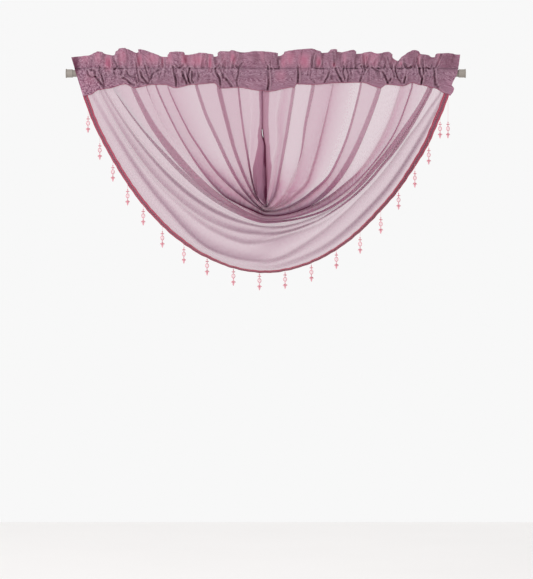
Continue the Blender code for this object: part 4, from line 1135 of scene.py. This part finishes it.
# The colour sockets of a Mix node have their names in common with its other kinds, so they go by number
MIX_FROM, MIX_TO, MIX_OUT = 6, 7, 2


def linear(hex_colour):
    """An sRGB hex value as linear red, green, blue and alpha."""
    channels = [int(hex_colour[i:i + 2], 16) / 255 for i in (1, 3, 5)]
    return (*(c / 12.92 if c <= 0.04045 else ((c + 0.055) / 1.055) ** 2.4 for c in channels), 1.0)


def add(tree, kind, inputs=None, **settings):
    """A node of this kind with its settings, each input set to a value or joined to a socket."""
    made = tree.nodes.new(kind)
    for name, value in settings.items():
        setattr(made, name, value)
    for socket, value in (inputs or {}).items():
        if isinstance(value, bpy.types.NodeSocket):
            tree.links.new(value, made.inputs[socket])
        else:
            made.inputs[socket].default_value = value
    return made


def new_finish(name):
    """An empty material and its node tree, with its output node."""
    made = bpy.data.materials.new(name)
    made.use_nodes = True
    made.node_tree.nodes.clear()
    return made, made.node_tree, add(made.node_tree, "ShaderNodeOutputMaterial")


def voile_threads(tree, pitch, slub):
    """Threads that cross, uneven in thickness: 0 between them to 1 on them, over the cloth's flat places."""
    flat = add(tree, "ShaderNodeUVMap", uv_map="cut").outputs["UV"]
    sets = []
    for scale in ((1 / pitch, 1 / slub, 1), (1 / slub, 1 / pitch, 1)):
        run = add(tree, "ShaderNodeMapping", {"Vector": flat, "Scale": scale}).outputs["Vector"]
        noise = add(tree, "ShaderNodeTexNoise", {"Vector": run, "Scale": 1.0, "Detail": 2.0},
                    noise_dimensions="2D")
        sets.append(noise.outputs[0])
    both = add(tree, "ShaderNodeMath", {0: sets[0], 1: sets[1]}, operation="ADD").outputs[0]
    low, high = THREADS_SEEN
    return add(tree, "ShaderNodeMapRange", {"Value": both, "From Min": low, "From Max": high}).outputs[0]


def voile_finish(name, voile):
    """See-through plain weave: light shows between its threads and glows through them."""
    made, tree, output = new_finish(name)
    threads = voile_threads(tree, voile.pitch * MM, voile.slub * MM)
    swing = {"Value": threads, "To Min": 1 - voile.swing, "To Max": 1 + voile.swing}
    uneven = add(tree, "ShaderNodeMapRange", swing).outputs[0]
    cover = add(tree, "ShaderNodeAttribute", attribute_name="cover").outputs["Fac"]
    cover = {0: cover, 1: uneven}
    cover = add(tree, "ShaderNodeMath", cover, operation="MULTIPLY", use_clamp=True).outputs[0]

    yarns = {0: threads, MIX_FROM: linear(voile.shot), MIX_TO: linear(voile.lit)}
    yarns = add(tree, "ShaderNodeMix", yarns, data_type="RGBA").outputs[MIX_OUT]
    colours = []
    for colour, tints in ((yarns, voile.face_tints), (linear(voile.glow), voile.glow_tints)):
        for tint in tints:
            mark = add(tree, "ShaderNodeAttribute", attribute_name=tint.mark).outputs["Fac"]
            share = {"Value": mark, "From Min": tint.start, "From Max": tint.full, "To Max": tint.most}
            share = add(tree, "ShaderNodeMapRange", share).outputs[0]
            colour = {0: share, MIX_FROM: colour, MIX_TO: linear(tint.colour)}
            colour = add(tree, "ShaderNodeMix", colour, data_type="RGBA").outputs[MIX_OUT]
        colours.append(colour)

    bump = add(tree, "ShaderNodeBump", {"Height": threads, "Strength": 0.35, "Distance": 0.6 * MM}).outputs[0]
    face = add(tree, "ShaderNodeBsdfPrincipled", {
        "Base Color": colours[0], "Roughness": 0.8, "Specular IOR Level": 0.05, "Sheen Weight": 0.03,
        "Normal": bump}).outputs[0]
    through = add(tree, "ShaderNodeBsdfTranslucent", {"Color": colours[1], "Normal": bump}).outputs[0]
    cloth = add(tree, "ShaderNodeMixShader", {0: voile.glow_share, 1: face, 2: through}).outputs[0]
    gaps = add(tree, "ShaderNodeBsdfTransparent").outputs[0]
    shown = add(tree, "ShaderNodeMixShader", {0: cover, 1: gaps, 2: cloth}).outputs[0]
    tree.links.new(shown, output.inputs["Surface"])
    return made


def tape_finish(name):
    """Jacquard tape: a grey-mauve middle figured with small dark diamonds, between red edges."""
    made, tree, output = new_finish(name)
    flat = add(tree, "ShaderNodeUVMap", uv_map="cut").outputs["UV"]
    along, across, _ = add(tree, "ShaderNodeSeparateXYZ", {0: flat}).outputs
    waves = []
    for sign in (1.0, -1.0):
        run = add(tree, "ShaderNodeMath", {0: across, 1: sign, 2: along}, operation="MULTIPLY_ADD").outputs[0]
        turns = {0: run, 1: 2 * pi / (TAPE_FIGURE * MM)}
        turns = add(tree, "ShaderNodeMath", turns, operation="MULTIPLY").outputs[0]
        waves.append(add(tree, "ShaderNodeMath", {0: turns}, operation="SINE").outputs[0])
    figure = add(tree, "ShaderNodeMath", {0: waves[0], 1: waves[1]}, operation="MULTIPLY").outputs[0]
    figure = {"Value": figure, "From Min": FIGURE_SEEN[0], "From Max": FIGURE_SEEN[1]}
    figure = add(tree, "ShaderNodeMapRange", figure).outputs[0]
    core = {0: figure, MIX_FROM: linear(TAPE_GROUND), MIX_TO: linear(TAPE_DIAMONDS)}
    core = add(tree, "ShaderNodeMix", core, data_type="RGBA").outputs[MIX_OUT]

    half = BRAID_WIDTH / 2 * MM
    aside = add(tree, "ShaderNodeMath", {0: across, 1: half}, operation="SUBTRACT").outputs[0]
    aside = add(tree, "ShaderNodeMath", {0: aside}, operation="ABSOLUTE").outputs[0]
    border = {"Value": aside, "From Min": half * TAPE_EDGE[0], "From Max": half * TAPE_EDGE[1]}
    border = add(tree, "ShaderNodeMapRange", border).outputs[0]
    colour = {0: border, MIX_FROM: core, MIX_TO: linear(TAPE_RED)}
    colour = add(tree, "ShaderNodeMix", colour, data_type="RGBA").outputs[MIX_OUT]
    bump = add(tree, "ShaderNodeBump", {"Height": figure, "Strength": 0.6, "Distance": 0.8 * MM}).outputs[0]
    shader = add(tree, "ShaderNodeBsdfPrincipled", {
        "Base Color": colour, "Roughness": 0.8, "Sheen Weight": 0.2, "Normal": bump}).outputs[0]
    tree.links.new(shader, output.inputs["Surface"])
    return made


def yarn_finish(name, colour, dark, twist):
    """Twisted yarn: its plies show as ribs across it, one every so many millimetres."""
    made, tree, output = new_finish(name)
    run = add(tree, "ShaderNodeAttribute", attribute_name="run").outputs["Fac"]
    turns = add(tree, "ShaderNodeMath", {0: run, 1: 2 * pi / (twist * MM)}, operation="MULTIPLY").outputs[0]
    ribs = add(tree, "ShaderNodeMath", {0: turns}, operation="SINE").outputs[0]
    ribs = add(tree, "ShaderNodeMapRange", {"Value": ribs, "From Min": -1.0}).outputs[0]
    # the colour runs darker between the ribs: painted shade in the grooves of the twist
    tone = {0: ribs, MIX_FROM: linear(dark), MIX_TO: linear(colour)}
    tone = add(tree, "ShaderNodeMix", tone, data_type="RGBA").outputs[MIX_OUT]
    bump = add(tree, "ShaderNodeBump", {"Height": ribs, "Strength": 0.5, "Distance": 0.4 * MM}).outputs[0]
    shader = add(tree, "ShaderNodeBsdfPrincipled", {
        "Base Color": tone, "Roughness": 0.7, "Sheen Weight": 0.2, "Normal": bump}).outputs[0]
    tree.links.new(shader, output.inputs["Surface"])
    return made


def clouds(tree, size, detail, first, second):
    """Soft clouds, this many millimetres across: their height, and two colours mixed by it."""
    place = add(tree, "ShaderNodeTexCoord").outputs["Object"]
    noise = {"Vector": place, "Scale": 1 / (size * MM), "Detail": detail}
    noise = add(tree, "ShaderNodeTexNoise", noise).outputs[0]
    tone = {0: noise, MIX_FROM: linear(first), MIX_TO: linear(second)}
    return noise, add(tree, "ShaderNodeMix", tone, data_type="RGBA").outputs[MIX_OUT]


def acrylic_finish(name, light, dark, clear, roughness):
    """Tinted clear plastic: a clear share lets the light through, the rest is tint and gloss."""
    made, tree, output = new_finish(name)
    _, tone = clouds(tree, ACRYLIC_CLOUDS, 2.0, light, dark)
    shader = add(tree, "ShaderNodeBsdfPrincipled", {
        "Base Color": tone, "Roughness": roughness, "IOR": 1.49, "Alpha": 1.0 - clear}).outputs[0]
    tree.links.new(shader, output.inputs["Surface"])
    return made


def coat_finish(name, light, dark, roughness, grain, strength):
    """A coated or moulded surface with a slight grain, this many millimetres across, in colour and height."""
    made, tree, output = new_finish(name)
    height, tone = clouds(tree, grain, 3.0, dark, light)
    bump = {"Height": height, "Strength": strength, "Distance": 0.4 * MM}
    bump = add(tree, "ShaderNodeBump", bump).outputs[0]
    shader = add(tree, "ShaderNodeBsdfPrincipled", {
        "Base Color": tone, "Roughness": roughness, "Normal": bump}).outputs[0]
    tree.links.new(shader, output.inputs["Surface"])
    return made


def make_finishes():
    """Every finish of the valance and its rod, by the piece that has it."""
    return {
        # Polyester voile in a plain weave of slubby two-tone yarn: see-through, rosier where light comes
        # through than where it falls on it, with faint streaks both ways, and painted grey and plum shade in
        # its creases
        "swag": voile_finish("slub_voile", SWAG_VOILE),
        # The same voile in two gathered layers: nearly closed, with painted deep plum shade in its creases
        # and a painted highlight on their rims
        "heading": voile_finish("gathered_voile", HEADING_VOILE),
        # Jacquard woven polyester tape: matt, with a raised dark figure between two red edges
        "tape": tape_finish("jacquard_tape"),
        # Rayon cord twisted from red plies: a ribbed bright red outline along the hem
        "edging": yarn_finish("rose_edging_yarn", "#B8465E", "#7E233B", twist=2.2),
        # Matt polyester yarn that zigzags over the tape: breaks up its middle with dark strokes
        "figure": yarn_finish("mauve_figure_yarn", "#7E4256", "#562637", twist=3.0),
        # Textured overlocking yarn: a soft rosy line along the heading's cut edge
        "overlock": yarn_finish("overlock_yarn", "#A85A74", "#7E2F4A", twist=3.0),
        # Spun sewing thread: short grey-mauve dashes, sunk between the gathers
        "gathering": yarn_finish("gathering_thread", "#7C5D6F", "#604658", twist=3.0),
        # Fine dyed beading thread: shows as a hairline of pale rose
        "thread": yarn_finish("rose_drop_thread", "#E3A5AE", "#D88C98", twist=2.0),
        # Injection moulded acrylic, dyed through: pale rose with a gloss, a little see-through
        "rose": acrylic_finish("rose_acrylic", "#E9A3AF", "#DE8D9C", clear=0.3, roughness=0.12),
        # The same without dye but for a blush: mostly what is behind it, and a highlight
        "clear": acrylic_finish("clear_acrylic", "#F4DADF", "#EFC9D0", clear=0.72, roughness=0.05),
        # Stoved enamel on drawn steel tube: warm grey, half gloss, with a faint orange peel
        "enamel": coat_finish("warm_grey_enamel", "#8C857D", "#7F776F",
                              roughness=0.38, grain=4.0, strength=0.06),
        # Moulded plastic of the feet: a touch lighter than the tube and matt, from the mould's spark texture
        "foot": coat_finish("moulded_grey_plastic", "#928B84", "#837B74",
                            roughness=0.55, grain=1.2, strength=0.12),
    }


# Stage, light and camera

PHOTO_ROWS, MM_PER_ROW = 579, 2.297     # the view's height, and what a row of it shows at the cloth
VIEW_DISTANCE = 6.0                     # metres, as every place and size below but the sensor's
VIEW_CENTRE = (0.4617, -0.012, -0.4973)
SENSOR = 36.0                           # millimetres
FLOOR_LOW, FLOOR_HIGH = (-2.6, -3.0, -1.3), (3.5, 3.0, -1.3)
BACKDROP = "#F8F8F8"
KEY_PLACE, KEY_TARGET = (-1.9, -3.2, 1.3), (0.46, 0, -0.15)
KEY_SIZE, KEY_WATTS = 1.8, 85
LAYERS_SEEN = 32                        # cloth layers that light may pass one after another


def aimed(name, data, place, target):
    """A light or the camera at a place, looking at a target."""
    thing = link(name, data)
    thing.location = place
    along = np.array(target) - np.array(place)
    along /= np.linalg.norm(along)
    thing.rotation_euler = (pi / 2 + np.arcsin(along[2]), 0, np.arctan2(-along[0], along[1]))
    return thing


def set_stage():
    """A plain pale floor and backdrop, one broad light from the upper left, and the camera in front."""
    (left, near, z), (right, far, _) = FLOOR_LOW, FLOOR_HIGH
    floor = bpy.data.meshes.new("floor")
    corners = [(left, near, z), (right, near, z), (right, far, z), (left, far, z)]
    floor.from_pydata(corners, [], [(0, 1, 2, 3)])
    # matt emulsion paint, rolled on: its faint broad clouds keep the floor from looking flat
    paint = coat_finish("floor_paint", "#F4F2F1", "#F0EEED", roughness=0.8, grain=400.0, strength=0.05)
    floor.materials.append(paint)
    link("floor", floor)

    scene = bpy.context.scene
    scene.world = bpy.data.worlds.new("studio")
    scene.world.use_nodes = True
    scene.world.node_tree.nodes["Background"].inputs["Color"].default_value = linear(BACKDROP)

    light = bpy.data.lights.new("key", "AREA")
    light.energy = KEY_WATTS
    light.size = KEY_SIZE
    aimed("key", light, KEY_PLACE, KEY_TARGET)

    camera = bpy.data.cameras.new("camera")
    camera.sensor_width = SENSOR
    camera.lens = SENSOR * VIEW_DISTANCE / (PHOTO_ROWS * MM_PER_ROW * MM)
    x, y, z = VIEW_CENTRE
    scene.camera = aimed("camera", camera, (x, y - VIEW_DISTANCE, z), VIEW_CENTRE)
    scene.view_settings.view_transform = "Standard"
    scene.cycles.transparent_max_bounces = LAYERS_SEEN


# The whole valance

def main():
    finishes = make_finishes()
    for node, finish in (("rod", "enamel"), ("left_foot", "foot"), ("right_foot", "foot")):
        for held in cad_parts[node].material_slots:
            held.material = finishes[finish]

    trees = {"cord": cord_tree(), "stitch": stitch_tree(), "hung": hung_tree()}
    swag = make_swag(finishes["swag"])
    heading, heading_points = make_heading(finishes["heading"])
    braid, edging, zigzag = make_braid(finishes["tape"], finishes["edging"], finishes["figure"], trees)
    stitches, overlock_cord = make_heading_trim(
        heading_points, finishes["overlock"], finishes["gathering"], trees)
    drops, cores, threads = make_drops(finishes["rose"], finishes["clear"], finishes["thread"], trees)
    set_stage()

    drop_nodes = [f"drop_{number:02d}" for number in range(1, DROP_COUNT + 1)]
    for piece, slot, replaced in (
        (swag, "sheer_cloth", ["swag"]),
        (heading, "heading_cloth", ["heading"]),
        (stitches, "heading_cloth", []),
        (overlock_cord, "heading_cloth", []),
        (braid, "braid_weave", ["braid"]),
        (edging, "braid_weave", []),
        (zigzag, "braid_weave", []),
        (drops, "bead_glass", drop_nodes),
        (cores, "bead_glass", []),
        (threads, "bead_glass", []),
    ):
        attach(piece, "root")
        if replaced:
            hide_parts(*replaced)


main()
